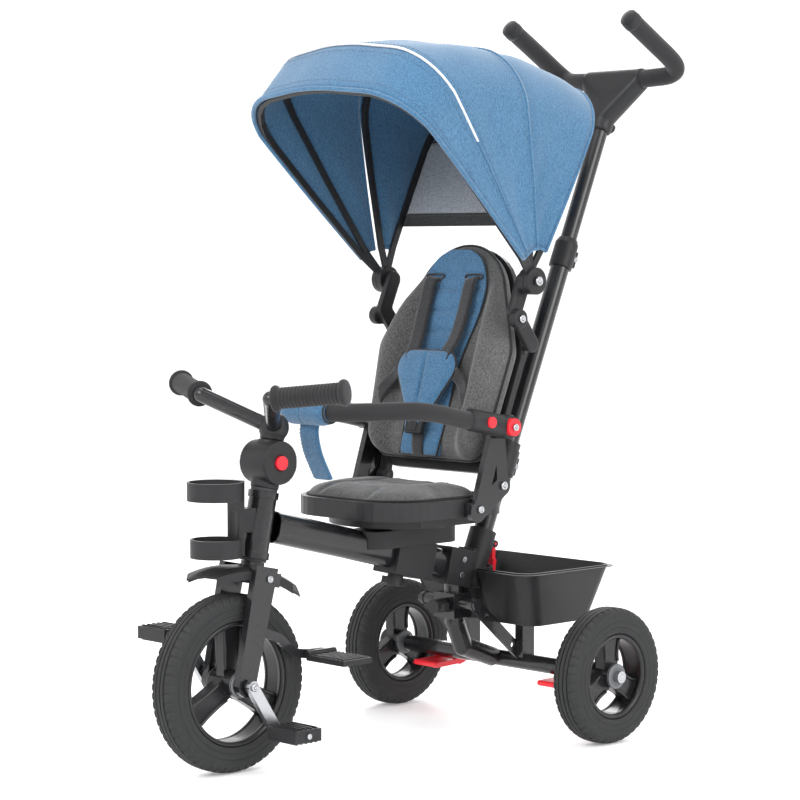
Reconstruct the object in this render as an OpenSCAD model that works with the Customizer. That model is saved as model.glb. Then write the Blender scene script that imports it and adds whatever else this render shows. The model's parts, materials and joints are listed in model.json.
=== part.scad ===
// Children's tricycle with a turning seat, a folding canopy and a push handle that steers.
// Millimetres. +Z is up, the child's left is +X and the trike drives towards -Y.
// The origin is on the floor, under the middle of the whole trike.
// Lengths along Y are measured backwards from the front wheel's hub.

/* [Wheels] */
// Diameter of the front wheel
front_wheel_d = 254; // [240:2:256]
// Diameter of each rear wheel
rear_wheel_d = 204; // [190:2:206]
// Width of a tyre
tyre_w = 44; // [38:1:46]
// Distance from the front hub back to the rear axle
wheelbase = 545; // [540:1:552]
// Distance between the middles of the rear wheels
track = 452; // [448:1:470]
// Crank length, from the hub to the pedal pin
crank_l = 78; // [72:1:80]
// Angle of the left crank behind straight down
crank_angle = 33; // [20:1:40]

/* [Frame] */
// Backward lean of the steering axis
rake = 12; // [11:0.5:13]
// Slope of the main tube, down towards the back
tube_drop = 13.6; // [13.2:0.1:14]
// Height of the main tube's oval section
tube_h = 46; // [42:1:48]
// Width of the main tube's oval section
tube_w = 34; // [30:1:36]
// Wall of the steel tubes
tube_wall = 1.5; // [1.2:0.1:2]

/* [Seat] */
// Distance from the front hub back to the axis that the seat turns on
seat_y = 342; // [338:1:346]
// Width of the seat pan
pan_w = 244; // [230:2:248]
// Backward lean of the backrest
recline = 16; // [14:1:18]
// Height of the backrest, along its slope
back_h = 358; // [350:1:364]
// Diameter of the safety bar over its foam
bar_d = 26; // [22:1:28]

/* [Canopy] */
// Radius of the canopy at its rear bow
rear_bow_r = 336; // [325:1:340]
// Radius of the canopy at its middle bow
mid_bow_r = 350; // [346:1:354]
// Radius of the canopy at its front bow
front_bow_r = 412; // [400:1:415]
// Angle of the rear bow behind upright
rear_bow_a = 27; // [25:1:29]
// Angle of the middle bow in front of upright
mid_bow_a = 9; // [8:1:10]
// Angle of the front bow in front of upright
front_bow_a = 35; // [34:1:37]
// Angle of the visor's edge in front of upright
visor_a = 48; // [46:1:50]

/* [Push handle] */
// Backward lean of the pole
pole_tilt = 23; // [22.5:0.1:23.5]
// Outside diameter of the lower pole
pole_d = 30; // [28:0.5:30]
// Length of the lower pole
pole_l = 543; // [530:1:550]
// Half the distance between the hand grips
handle_half = 125; // [110:1:130]

/* [Fits] */
// Radial clearance of a pin or a tube that turns or slides in its bore
fit = 0.08; // [0.04:0.01:0.1]
// Gap between faces that pass each other
gap = 0.4; // [0.3:0.05:0.6]

/* [Hidden] */
$fn = 48;
eps = 0.01;
front_hub_y = -355.5;
front_r = front_wheel_d / 2;
rear_r = rear_wheel_d / 2;
tyre_t = 38;
tyre_corner = 12;
axle_r = 5;
pin_r = 4;
steer_y = 10;
steerer_r = 12.7;
head_r = 20;
head_bore_r = 17;
head_t0 = 176;
head_t1 = 272;
steerer_t1 = 347;
crown_t0 = 140;
crown_t1 = 160;
pod_t = 314;
ball_t = 364;
ball_r = 21.5;
bar_tube_d = 22;
grip_d = 29;
leg_x0 = 29;
leg_x1 = 41;
arm_x1 = 37.4;
tube_y = 66;
tube_z = 345;
tube_start = head_r - 2;
tube_end = 402;
pole_y = 481;
pole_z = 230;
hub_p = 750;
slider_z = 322;
plate_t = 8;
pan_z = slider_z + gap + plate_t;
pan_top = 372;
sweep_r = 112;
cushion_top = 394;
back_y = 72;
back_z = 388;
back_skin = 10;
pivot_y = 110;
pivot_z = 688;
bar_y = 63;
bar_z = 476;
bar_x = 148;
footrest_z = 160;
basket_z0 = 165;
basket_z1 = 250;

// ---- Frames that the pieces are built in ----

// Y is measured from the front hub
module trike() translate([0, front_hub_y, 0]) children();

// Z runs up the steering axis from the height of the hub
module on_steering() trike() translate([0, steer_y, front_r]) rotate([-rake, 0, 0]) children();

// Y runs down the main tube from the head tube's axis
module on_tube() trike() translate([0, tube_y, tube_z]) rotate([-tube_drop, 0, 0]) children();

// Z runs up the push pole from the bottom of its socket
module on_pole() trike() translate([0, pole_y, pole_z]) rotate([-pole_tilt, 0, 0]) children();

// Y is measured from the axis that the seat turns on
module on_seat() trike() translate([0, seat_y, 0]) children();

// Z runs up the backrest from its hinge, and -Y points out of its front
module on_back() on_seat() translate([0, back_y, back_z]) rotate([-recline, 0, 0]) children();

// The X axis is the line through both canopy pivots
module on_canopy() on_seat() translate([0, pivot_y, pivot_z]) children();

// Child on the left, and its mirror image on the right
module both_sides() {
  children();
  mirror([1, 0, 0]) children();
}

// ---- Simple shapes ----

// Round bar from point a to point b
module rod(a, b, d) {
  v = b - a;
  translate(a) rotate([0, acos(v.z / norm(v)), atan2(v.y, v.x)]) cylinder(d = d, h = norm(v));
}

// Round bar along a list of points, with a slightly fuller ball at each bend
bend_swell = 0.8;
module bent_rod(points, d) {
  for (i = [0 : len(points) - 2]) rod(points[i], points[i + 1], d);
  for (i = [1 : len(points) - 2]) translate(points[i]) sphere(d = d + bend_swell);
}

// Cylinder along X, from x0 to x1
module x_pin(x0, x1, r) translate([x0, 0, 0]) rotate([0, 90, 0]) cylinder(r = r, h = x1 - x0);

// Cylinder along Y, from y0 to y1
module y_pin(y0, y1, r) translate([0, y0, 0]) rotate([-90, 0, 0]) cylinder(r = r, h = y1 - y0);

// Outline given as [y, z] points, made into a plate from x0 to x1
module side_plate(x0, x1) translate([x0, 0, 0]) rotate([90, 0, 90]) linear_extrude(x1 - x0) children();

// Flat bar from point a to point b, with round ends that are slightly fuller than the bar
end_swell = 0.5;
module slat(a, b, w) {
  v = b - a;
  translate(a) rotate(atan2(v.y, v.x)) translate([0, -w / 2]) square([norm(v), w]);
  translate(a) circle(d = w + end_swell);
  translate(b) circle(d = w + end_swell);
}

// Oval with flat sides, as the section of the main tube
module oval(w, h) {
  square([w, h - w], center = true);
  for (s = [-1, 1]) translate([0, s * (h - w) / 2]) circle(d = w);
}

// Block with its middle at [x, y] and its height from z0 to z1
module block(x, y, z0, z1, lx, ly) translate([x - lx / 2, y - ly / 2, z0]) cube([lx, ly, z1 - z0]);

// ---- Wheels ----

module tyre(r) rotate([0, 90, 0]) rotate_extrude($fn = 96) {
  translate([r - tyre_t, -tyre_w / 2]) square([tyre_t - tyre_corner, tyre_w]);
  translate([r - tyre_t, tyre_corner - tyre_w / 2]) square([tyre_t, tyre_w - 2 * tyre_corner]);
  for (s = [-1, 1]) translate([r - tyre_corner, s * (tyre_w / 2 - tyre_corner)]) circle(tyre_corner);
}

// Rim with three broad spokes; the hub is hub_w wide and bored for the axle
module rim(r, hub_w, bore_r) {
  ring_t = 7;
  ring_w = 34;
  hub_r = 19;
  difference() {
    union() {
      difference() {
        x_pin(-ring_w / 2, ring_w / 2, r);
        x_pin(-ring_w, ring_w, r - ring_t);
      }
      x_pin(-hub_w / 2, hub_w / 2, hub_r);
      for (i = [0 : 2]) rotate([120 * i, 0, 0])
        side_plate(-8, 8) polygon([[-15, 0], [15, 0], [17, r - ring_t + 2], [-17, r - ring_t + 2]]);
    }
    x_pin(-hub_w, hub_w, bore_r);
  }
}

module at_front_hub() trike() translate([0, 0, front_r]) children();
module at_rear_hub(side) trike() translate([side * track / 2, wheelbase, rear_r]) children();

module front_tyre() color("#2a2b2d") at_front_hub() tyre(front_r);
module front_rim() color("#17181a") at_front_hub() rim(front_r - tyre_t, 54, axle_r);
module rear_tyre_left() color("#2a2b2d") at_rear_hub(1) tyre(rear_r);
module rear_tyre_right() color("#2a2b2d") at_rear_hub(-1) tyre(rear_r);
module rear_rim_left() color("#17181a") at_rear_hub(1) rim(rear_r - tyre_t, 40, axle_r + fit);
module rear_rim_right() color("#17181a") at_rear_hub(-1) rim(rear_r - tyre_t, 40, axle_r + fit);

// Axle pressed into the front rim, with a crank and a pedal pin on each end
module crank_axle() color("#c9ccd0") at_front_hub() {
  x_pin(-55, 55, axle_r);
  for (s = [1, -1]) rotate([s > 0 ? 0 : 180, 0, 0]) {
    end = [crank_l * sin(crank_angle), -crank_l * cos(crank_angle)];
    side_plate(s > 0 ? 46 : -55, s > 0 ? 55 : -46) slat([0, 0], end, 17);
    translate([0, end.x, end.y]) x_pin(s > 0 ? 54 : -124, s > 0 ? 124 : -54, pin_r);
  }
}

// Pedal that stays level under the foot, with a rib along each tread
module pedal(side) at_front_hub()
  translate([0, side * crank_l * sin(crank_angle), -side * crank_l * cos(crank_angle)])
  mirror([side > 0 ? 0 : 1, 0, 0]) difference() {
    union() {
      block(91, 0, -9, 9, 60, 48);
      for (y = [-18 : 9 : 18], s = [-1, 1]) block(91, y, s > 0 ? 9 - eps : -11, s > 0 ? 11 : -9 + eps, 52, 3);
    }
    for (y = [-15, 15]) block(91, y, -12, 12, 44, 8);
    x_pin(58, 130, pin_r + fit);
  }

module pedal_left() color("#1b1c1e") pedal(1);
module pedal_right() color("#1b1c1e") pedal(-1);

// ---- Fork, fender, stem and handlebar ----

// One fork leg as a side outline, from the crown down to the hub
module leg_outline() {
  polygon([[-15, 4], [19, 168], [58, 160], [15, -4]]);
  circle(16);
}

// Path of the arm that carries a footrest, as [y, z] from the front hub
arm_path = [[34, 72], [64, 60], [92, 36], [112, 33]];

module fork_solid() {
  on_steering() {
    difference() {
      translate([0, 0, crown_t0]) cylinder(r = steerer_r, h = steerer_t1 - crown_t0);
      translate([0, 0, crown_t1]) cylinder(r = steerer_r - 2, h = steerer_t1);
    }
    block(0, 0, crown_t0, crown_t1, 2 * leg_x1, 42);
    translate([0, 0, crown_t1 - eps]) cylinder(r = 17, h = head_t0 - 4 - gap - crown_t1);
  }
  at_front_hub() both_sides() difference() {
    union() {
      side_plate(leg_x0, leg_x1) leg_outline();
      side_plate(leg_x0 + 2, arm_x1)
        for (i = [0 : len(arm_path) - 2]) slat(arm_path[i], arm_path[i + 1], 13);
      translate([leg_x1 + 2, 0, footrest_z - front_r]) y_pin(125, 147, 5);
      side_plate(leg_x0 + 2, arm_x1) polygon([[106, 28], [147, 28], [147, 38], [106, 39]]);
      block(arm_x1 + 2, 136, 28.5, 37.5, 8, 22);
      translate([leg_x1 + 2, 0, footrest_z - front_r]) y_pin(109, 163, 2.5);
    }
    x_pin(20, 50, axle_r + fit);
  }
}

module fork() color("#141416") fork_solid();

// Arched fender with pointed ends, let in around the fork
module fender() color("#1a1a1d") difference() {
  at_front_hub() translate([0, -3, -32]) intersection() {
    rotate([0, 90, 0]) rotate_extrude($fn = 96) difference() {
      polygon([[180, -33], [192, -33], [197, -20], [199, 0], [197, 20], [192, 33], [180, 33]]);
      polygon([[179, -31], [190, -31], [194.5, -19], [196.5, 0], [194.5, 19], [190, 31], [179, 31]]);
    }
    translate([0, 0, 100]) linear_extrude(120)
      polygon([[0, -72], [33, -42], [33, 95], [0, 138], [-33, 95], [-33, -42]]);
  }
  on_steering() block(0, 0, crown_t0 - 30, crown_t1 + eps, 2 * leg_x1 + 1, 52);
  on_steering() cylinder(r = 17 + eps, h = head_t0);
  at_front_hub() both_sides() side_plate(leg_x0 - 0.5, leg_x1 + 0.5) offset(delta = 0.5) leg_outline();
}

// Drum around the stem, with a pocket in its left side for the steering button
module stem_housing() color("#1b1c1f") on_steering() difference() {
  union() {
    translate([0, 0, pod_t]) x_pin(-27, 27, 31);
    translate([0, 0, head_t1 + 4 + gap]) cylinder(r = 20, h = ball_t - 24 - head_t1);
  }
  cylinder(r = steerer_r + eps, h = 400);
  translate([0, 0, pod_t]) x_pin(21, 30, 10 + fit);
}

module stem_button() color("#d9343b") on_steering() translate([0, 0, pod_t]) {
  x_pin(25.5, 31, 10);
}

// Where the handlebar's left half bends, from the middle out to its end
handlebar_path = [[0, 85.5, 482], [75, 15, 529], [175, 60, 540]];

module half_bar(d) trike() bent_rod(handlebar_path, d);

module handlebar_clamp() color("#1b1c1f") difference() {
  union() {
    on_steering() translate([0, 0, ball_t]) sphere(r = ball_r);
    on_steering() translate([0, 0, ball_t - 18.4]) cylinder(r = 17, h = 7);
  }
  on_steering() cylinder(r = steerer_r + eps, h = steerer_t1 + 0.5);
  both_sides() half_bar(bar_tube_d);
  trike() translate(handlebar_path[0]) sphere(d = bar_tube_d + bend_swell);
}

module handlebar() color("#131315") {
  both_sides() half_bar(bar_tube_d - 0.2);
  trike() translate(handlebar_path[0]) sphere(d = bar_tube_d - 0.2 + bend_swell);
}

// Foam grip with a flange at each end
module grips() color("#222325") both_sides() trike() {
  a = handlebar_path[1];
  b = handlebar_path[2];
  u = (b - a) / norm(b - a);
  difference() {
    union() {
      rod(a + 8 * u, b, grip_d);
      rod(a + 6 * u, a + 11 * u, grip_d + 8);
      rod(b - 3 * u, b + 5 * u, grip_d + 9);
    }
    rod(a, b + eps * u, bar_tube_d + 0.4);
  }
}

// Foot pad that folds up against the wheel
module footrest(side) at_front_hub() mirror([side > 0 ? 0 : 1, 0, 0])
  translate([leg_x1 + 2, 0, footrest_z - front_r]) difference() {
    union() {
      block(42, 136, -9, -1, 72, 54);
      block(5, 136, -9, -1, 12, 54);
      y_pin(109.3, 125 - gap, 5);
      y_pin(147 + gap, 162.7, 5);
      for (x = [14 : 8 : 70]) block(x, 136, -1 - eps, 0.5, 3, 48);
    }
    y_pin(100, 170, 2.5 + fit);
    block(0, 136, -10, 6, 14.4, 22 + 2 * gap);
  }

module footrest_left() color("#202124") footrest(1);
module footrest_right() color("#202124") footrest(-1);

// ---- Main frame ----

module head_tube() color("#151517") on_steering() difference() {
  union() {
    translate([0, 0, head_t0]) cylinder(r = head_r, h = head_t1 - head_t0);
    for (t = [head_t0, head_t1 - 10]) translate([0, 0, t]) cylinder(r = head_r + 2, h = 10);
  }
  cylinder(r = head_bore_r, h = 400);
}

// Flanged bush at each end of the head tube
module headset_bushes() color("#3b3d40") on_steering() difference() {
  union() {
    translate([0, 0, head_t0 - 4]) cylinder(r = 19, h = 4);
    translate([0, 0, head_t0 - eps]) cylinder(r = head_bore_r, h = 18);
    translate([0, 0, head_t1]) cylinder(r = 19, h = 4);
    translate([0, 0, head_t1 - 18]) cylinder(r = head_bore_r, h = 18 + eps);
  }
  cylinder(r = steerer_r + fit, h = 400);
}

module tube_run(grow, y0, y1)
  on_tube() translate([0, y0, 0]) rotate([-90, 0, 0]) linear_extrude(y1 - y0)
    oval(tube_w + 2 * grow, tube_h + 2 * grow);

module main_tube() color("#131315") difference() {
  tube_run(0, tube_start, tube_end);
  tube_run(-tube_wall, -10, tube_end + 1);
  on_steering() cylinder(r = head_r, h = 400);
}

// Open ring above a shallow cup, on a spine that is clamped to the head tube
module cup_holder() color("#1c1d20") trike() translate([0, -22, 0]) difference() {
  union() {
    translate([0, 0, 306]) cylinder(r = 36, h = 26);
    translate([0, 0, 386]) cylinder(r = 40, h = 26);
    block(0, 37, 306, 412, 26, 10);
    block(0, 52, 338, 372, 22, 26);
  }
  translate([0, 0, 309]) cylinder(r = 33, h = 60);
  translate([0, 0, 386]) cylinder(r = 37, h = 40);
  translate([0, 22, 0]) translate([0, -front_hub_y, 0]) on_steering() cylinder(r = head_r + eps, h = 400);
}

// Casting that joins the main tube, the rear post and the push pole
module casting() {
  on_pole() translate([0, 0, -8]) cylinder(r = 21, h = 88);
  on_tube() block(0, tube_end - 12, -tube_h / 2 - 5, tube_h / 2 + 5, tube_w + 9, 56);
  on_pole() block(0, -12, -8, 44, 34, 24);
}

module pole_socket() color("#18191b") difference() {
  union() {
    casting();
    on_pole() both_sides() side_plate(8, 12) slat([14, 66], [23, 66], 10);
  }
  on_pole() translate([0, 0, -4]) cylinder(r = pole_d / 2 + fit, h = 120);
  tube_run(0, 200, tube_end);
  on_pole() translate([0, 23, 66]) x_pin(-30, 30, 2 + fit);
  on_pole() block(0, 22, 58, 90, 15, 12);
}

// Path of the rear post, down and back to the axle tube
post_path = [[0, 448, 230], [0, 450, 168], [0, 468, 128], [0, 534, 104]];

// Bent post with a cross bar, two drilled stays and the pillars under the basket
module post_and_stays() trike() difference() {
  union() {
    bent_rod(post_path, 30);
    block(0, 446, 176, 214, 44, 38);
    translate([0, 440, 200]) x_pin(-60, 60, 9);
    both_sides() {
      difference() {
        side_plate(50, 55) slat([440, 200], [wheelbase, rear_r + 8], 20);
        for (k = [0.22, 0.78]) translate([0, 440 + k * 105, 200 - k * 90]) x_pin(45, 60, 4.5);
      }
      block(58, wheelbase, rear_r + 8, basket_z0, 16, 26);
    }
  }
  bent_rod([post_path[0] + [0, 0, 5], post_path[1], post_path[2], post_path[3]], 25);
  translate([0, wheelbase, rear_r]) x_pin(-100, 100, 12.5);
  translate([0, 380, 195]) y_pin(0, 100, 3.5);
}

module rear_frame() color("#1a1b1d") difference() {
  post_and_stays();
  casting();
}

// Tube between the rear wheels, with a plug in each end and a lug for each brake pedal
module rear_axle_tube() color("#1e1f22") trike() difference() {
  union() {
    translate([0, wheelbase, rear_r]) x_pin(-198, 198, 12.5);
    both_sides() for (x = [103, 161]) side_plate(x, x + 5) slat([wheelbase, rear_r], [wheelbase + 24, rear_r - 2], 14);
    both_sides() translate([0, wheelbase + 24, rear_r - 2]) x_pin(104, 165, 3);
  }
  translate([0, wheelbase, rear_r]) {
    x_pin(-180, 180, 10.5);
    x_pin(-210, 210, axle_r);
  }
}

module rear_axle() color("#b9bcc0") trike() translate([0, wheelbase, rear_r]) x_pin(-256, 256, axle_r);

// Foot pedal that rocks under the axle tube to lock the wheel beside it
module brake_pedal(side) trike() mirror([side > 0 ? 0 : 1, 0, 0])
  translate([0, wheelbase + 24, rear_r - 2]) difference() {
    union() {
      side_plate(109, 160) {
        slat([-46, -22], [10, -20], 8);
        slat([10, -20], [32, -12], 8);
        slat([0, 0], [4, -20], 11);
      }
    }
    x_pin(100, 170, 3 + fit);
    block(134.5, 0, -14, 8, 34, 30);
  }

module brake_pedal_left() color("#cf2f37") brake_pedal(1);
module brake_pedal_right() color("#cf2f37") brake_pedal(-1);

// Rounded rectangle slab that the basket's walls are hulled from
module basket_slab(x, y0, y1, z, r) hull()
  for (sx = [-1, 1], y = [y0 + r, y1 - r]) translate([sx * (x - r), y, z]) cylinder(r = r, h = 1, $fn = 32);

// Tapered tub with a flanged rim, let in around the push pole
module basket() color("#232427") trike() {
  wall = 2.6;
  notch_r = 27;
  notch_y = 492;
  difference() {
    union() {
      hull() {
        basket_slab(112, 505, 640, basket_z0, 22);
        basket_slab(132, 470, 668, basket_z1 - 1, 26);
      }
      basket_slab(139, 463, 675, basket_z1 - 3, 30);
    }
    difference() {
      hull() {
        basket_slab(112 - wall, 505 + wall, 640 - wall, basket_z0 + wall, 20);
        basket_slab(132 - wall, 470 + wall, 668 - wall, basket_z1 + 1, 24);
      }
      translate([0, notch_y, basket_z0]) cylinder(r = notch_r + wall, h = 100);
      block(0, 475, basket_z0, basket_z1 + 5, 2 * (notch_r + wall), 34);
    }
    translate([0, notch_y, 100]) cylinder(r = notch_r, h = 200);
    block(0, 465, 100, 300, 2 * notch_r, 54);
  }
}

// Axle caps, basket screws, head tube bolts and the screw of the rear post's clamp
module fasteners() color("#c4c7cb") {
  trike() both_sides() {
    translate([0, wheelbase, rear_r]) difference() {
      x_pin(track / 2 + 20 + gap, 256, 9);
      x_pin(100, 300, axle_r);
    }
    translate([58, wheelbase, basket_z0 + 2.6]) cylinder(r = 5, h = 3);
  }
  for (z = [-12, 12]) on_tube() both_sides()
    translate([0, tube_end - 12, z]) x_pin(tube_w / 2 + 4.5, tube_w / 2 + 7.5, 4.5);
}

// Wing knob on the screw that clamps the rear post
module post_knob() color("#1b1c1e") trike() translate([0, 0, 195]) {
  y_pin(404, 427 - gap, 11);
  y_pin(426, 440, 3.5 - fit);
  for (s = [-1, 1]) block(s * 14, 412, -5, 5, 14, 10);
}

// ---- Push pole and handle ----

module pole_lower() color("#141416") on_pole() difference() {
  translate([0, 0, -4 + gap]) cylinder(d = pole_d, h = pole_l + 4 - gap);
  translate([0, 0, 2]) cylinder(d = pole_d - 3.8, h = pole_l);
}

// Clamp where the pole comes apart for packing
module pole_joint() color("#1a1b1d") on_pole() difference() {
  union() {
    translate([0, 0, 160]) cylinder(r = 19, h = 64);
    translate([0, 0, 172]) cylinder(r = 21, h = 40);
    block(0, 19, 178, 206, 14, 14);
  }
  translate([0, 0, 150]) cylinder(d = pole_d, h = 90);
}

module pole_collar() color("#1a1b1d") on_pole() difference() {
  union() {
    translate([0, 0, pole_l - 26]) cylinder(r = 18.5, h = 40);
    translate([0, 0, pole_l + 14]) cylinder(r1 = 18.5, r2 = 15, h = 8);
    block(0, 17, pole_l - 18, pole_l + 8, 16, 12);
  }
  translate([0, 0, pole_l - 40]) cylinder(d = pole_d, h = 40);
  cylinder(r = pole_d / 2 - 2 + fit, h = 800);
}

// Red lever at the back of the socket that releases the pole
module pole_lever() color("#d9343b") on_pole() translate([0, 23, 66]) {
  x_pin(-7, 7, 5);
  x_pin(-12, 12, 2);
  side_plate(-7, 7) slat([2, 0], [11, -26], 7);
  side_plate(-9, 9) slat([11, -24], [15, -40], 7);
}

module pole_upper() color("#141416") on_pole() difference() {
  translate([0, 0, 330]) cylinder(r = pole_d / 2 - 2, h = 455);
  translate([0, 0, 320]) cylinder(r = pole_d / 2 - 3.5, h = 480);
}

// Where the handle's left half bends, from the hub out to the tip
handle_path = [
  [58, 812, 1003],
  [handle_half - 16, 824, 1008],
  [handle_half, 812, 1022],
  [handle_half, 695, 1088]
];

module handle_hub() color("#16171a") difference() {
  union() {
    hull() {
      on_pole() translate([0, 0, hub_p + 20]) cylinder(r = 18, h = 30, $fn = 32);
      trike() rod([-58, 812, 1003], [58, 812, 1003], 33, $fn = 32);
    }
    on_pole() translate([0, 0, hub_p]) cylinder(r = 17, h = 40);
  }
  on_pole() cylinder(r = pole_d / 2 - 2, h = 785);
  on_pole() translate([0, 0, hub_p + 16]) rotate([-90, 0, 0]) cylinder(r = 8 + fit, h = 40);
  both_sides() trike() bent_rod(handle_path, 28.6);
}

module handle_grips() color("#1f2023") both_sides() trike() {
  bent_rod(handle_path, 28);
  rod(handle_path[3], handle_path[3] + [0, -5.2, 3], 31);
}

module handle_button() color("#26272a") on_pole() translate([0, 0, hub_p + 16])
  y_pin(17, 24, 8);

// ---- Seat ----

// Saddle that slides on the main tube and carries the turntable
module seat_slider() color("#1d1e21") difference() {
  union() {
    on_tube() block(0, (seat_y - tube_y) / cos(tube_drop) + 4, -tube_h / 2 - 7, tube_h / 2 + 3, tube_w + 16, 76);
    on_seat() block(0, 0, 296, slider_z, 66, 124);
    on_seat() for (s = [-1, 1]) translate([0, s * 62, 296]) cylinder(r = 33, h = slider_z - 296);
  }
  tube_run(gap, 60, 400);
  on_seat() translate([0, 0, 290]) cylinder(r = 10 + fit, h = 60);
  on_tube() translate([0, (seat_y - tube_y) / cos(tube_drop) - 10, -60]) cylinder(r = 4 + fit, h = 50);
}

// Wing knob under the tube that locks the saddle
module seat_knob() color("#1b1c1e") on_tube()
  translate([0, (seat_y - tube_y) / cos(tube_drop) - 10, -tube_h / 2]) {
    translate([0, 0, -12]) cylinder(r = 4, h = 11);
    translate([0, 0, -24]) cylinder(r = 12, h = 17 - gap);
    for (s = [-1, 1]) block(0, s * 15, -22, -12, 9, 16);
  }

module swivel_plate() color("#2b2c2f") on_seat() {
  translate([0, 0, slider_z + gap]) cylinder(r = 62, h = plate_t);
  translate([0, 0, 307]) cylinder(r = 10, h = slider_z + 1 - 307);
}

// Outline of the seat pan, rounder in front than behind
module pan_outline(inset) hull() {
  for (s = [-1, 1]) {
    translate([s * (pan_w / 2 - 75), -64]) circle(75 - inset, $fn = 32);
    translate([s * (pan_w / 2 - 34), 66]) circle(34 - inset, $fn = 32);
  }
}

// Moulded seat pan in two tiers, with a lip round the cushion
module seat_shell() color("#18191b") on_seat() difference() {
  union() {
    translate([0, 0, pan_z]) linear_extrude(14) intersection() {
      pan_outline(26);
      circle(r = sweep_r);
    }
    translate([0, 0, pan_z + 14 - eps]) linear_extrude(pan_top - pan_z - 14) pan_outline(0);
  }
  translate([0, 0, pan_top - 8]) linear_extrude(20) pan_outline(8);
  both_sides() block(123, 30, 346 - fit, 366 + fit, 12 + 2 * fit, 50 + 2 * fit);
}

module seat_cushion() color("#5f5f5f") on_seat()
  translate([0, 0, pan_top - 8 + gap]) intersection() {
    linear_extrude(cushion_top - pan_top + 8 - gap) pan_outline(9);
    block(0, -50, -1, 60, 300, 200);
  }

// Side bracket that holds the backrest's hinge and the end of the safety bar
module seat_arms() color("#17181a") on_seat() both_sides() difference() {
  union() {
    side_plate(126, 136) {
      slat([20, 352], [back_y, back_z], 30);
      slat([24, 354], [bar_y, bar_z], 24);
      slat([back_y, back_z], [bar_y, bar_z], 22);
    }
    block(123, 30, 346, 366, 12, 50);
    translate([0, back_y, back_z]) x_pin(108, 127, 5);
    translate([0, bar_y, bar_z]) x_pin(126, 134, 17);
  }
  translate([0, bar_y, bar_z]) x_pin(100, 200, 6 + fit);
}

// ---- Backrest ----

// Outline of the backrest, seen from the front, as [x, height]
module back_outline(inset) hull() {
  translate([0, back_h - 96]) circle(96 - inset, $fn = 48);
  for (s = [-1, 1]) {
    translate([s * 92, 190]) circle(38 - inset, $fn = 32);
    translate([s * 90, 40]) circle(26 - inset, $fn = 32);
  }
}

// Slab of the backrest from y0 to y1, in front of the hinge when negative
module back_slab(inset, y0, y1) translate([0, y1, 0]) rotate([90, 0, 0]) linear_extrude(y1 - y0)
  back_outline(inset);

module backrest_shell() color("#18191b") on_back() difference() {
  union() {
    back_slab(0, -back_skin, 0);
    both_sides() {
      side_plate(109, 125 - gap) {
        circle(11);
        slat([0, 0], [-4, 46], 12);
      }
    }
  }
  x_pin(-130, 130, 5 + fit);
  both_sides() translate([0, -5, 207]) x_pin(121 - fit, 136, 3.5 + fit);
}

module backrest_cushion() color("#616161") on_back() intersection() {
  union() {
    back_slab(4, -52, -back_skin - gap);
    difference() {
      back_slab(4, -76, -back_skin - gap);
      block(0, -60, -1, 400, 186, 100);
    }
  }
  block(0, -50, 24, 400, 300, 120);
}

// Shoulder straps and the belly pad between them
module harness() color("#5d86ad") on_back() {
  both_sides() {
    translate([30, -60, 186]) cube([26, 7.5, 110]);
    translate([34, -57.5, 70]) cube([18, 5, 118]);
  }
  translate([0, -64, 0]) rotate([90, 0, 0]) linear_extrude(16) hull() {
    for (s = [-1, 1]) translate([s * 36, 158]) circle(26, $fn = 32);
    translate([0, 82]) circle(20, $fn = 32);
  }
  both_sides() block(38, -60, 90, 150, 18, 10);
}

// Clamps on the sides of the backrest, with the pivot of the canopy
module canopy_clamps() color("#1b1c1e") {
  on_back() both_sides() {
    side_plate(134, 144) {
      slat([-4, 214], [-52, 250], 24);
      slat([-52, 250], [-46, 299], 24);
    }
    translate([0, -5, 207]) x_pin(121, 135, 3.5);
    translate([0, -52, 240]) x_pin(143, 156, 14);
  }
  on_canopy() both_sides() x_pin(143, 168, axle_r);
}

// ---- Safety bar ----

// Where the bar's left half bends, from the seat's side to the middle of the front
bar_path = [
  [bar_x, bar_y - 16, bar_z + 3],
  [bar_x, -76, 502],
  [130, -138, 506],
  [92, -174, 505],
  [54, -189, 503],
  [0, -189, 503]
];

module safety_bar() color("#1e1f22") on_seat() difference() {
  union() {
    both_sides() {
      bent_rod(bar_path, bar_d);
      rod([bar_x, bar_y - 18.5, bar_z + 3.6], [bar_x, -8, bar_z + 14], bar_d + 5);
      translate([0, bar_y, bar_z]) x_pin(136 + gap, 160, 18);
      translate([0, bar_y, bar_z]) x_pin(127, 140, 6);
    }
  }
  both_sides() translate([bar_x, 18, bar_z + 9]) x_pin(8.5, 30, 8 + fit);
}

// Padded sleeve round the straight middle of the bar
module bar_pad() color("#5d86ad") on_seat() translate(bar_path[5]) difference() {
  x_pin(-46, 46, 21);
  x_pin(-50, 50, bar_d / 2);
}

module crotch_strap() color("#5d86ad") on_seat() side_plate(-20, 20) slat([-187, 479], [-160, 404], 6);

// Red caps over the ends of the bar
module bar_pivots() color("#d9343b") on_seat() both_sides() translate([0, bar_y, bar_z])
  x_pin(160, 168, 13);

module bar_button(side) on_seat() mirror([side > 0 ? 0 : 1, 0, 0])
  translate([bar_x, 18, bar_z + 9]) x_pin(12, 19, 8);

module bar_button_left() color("#d9343b") bar_button(1);
module bar_button_right() color("#d9343b") bar_button(-1);

// ---- Canopy ----

// Radius of the canopy at an angle in front of upright
function canopy_r(a) = lookup(a, [
  [-rear_bow_a, rear_bow_r],
  [0, mid_bow_r - 1],
  [mid_bow_a, mid_bow_r],
  [front_bow_a, front_bow_r],
  [visor_a, front_bow_r - 8]
]);

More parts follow.
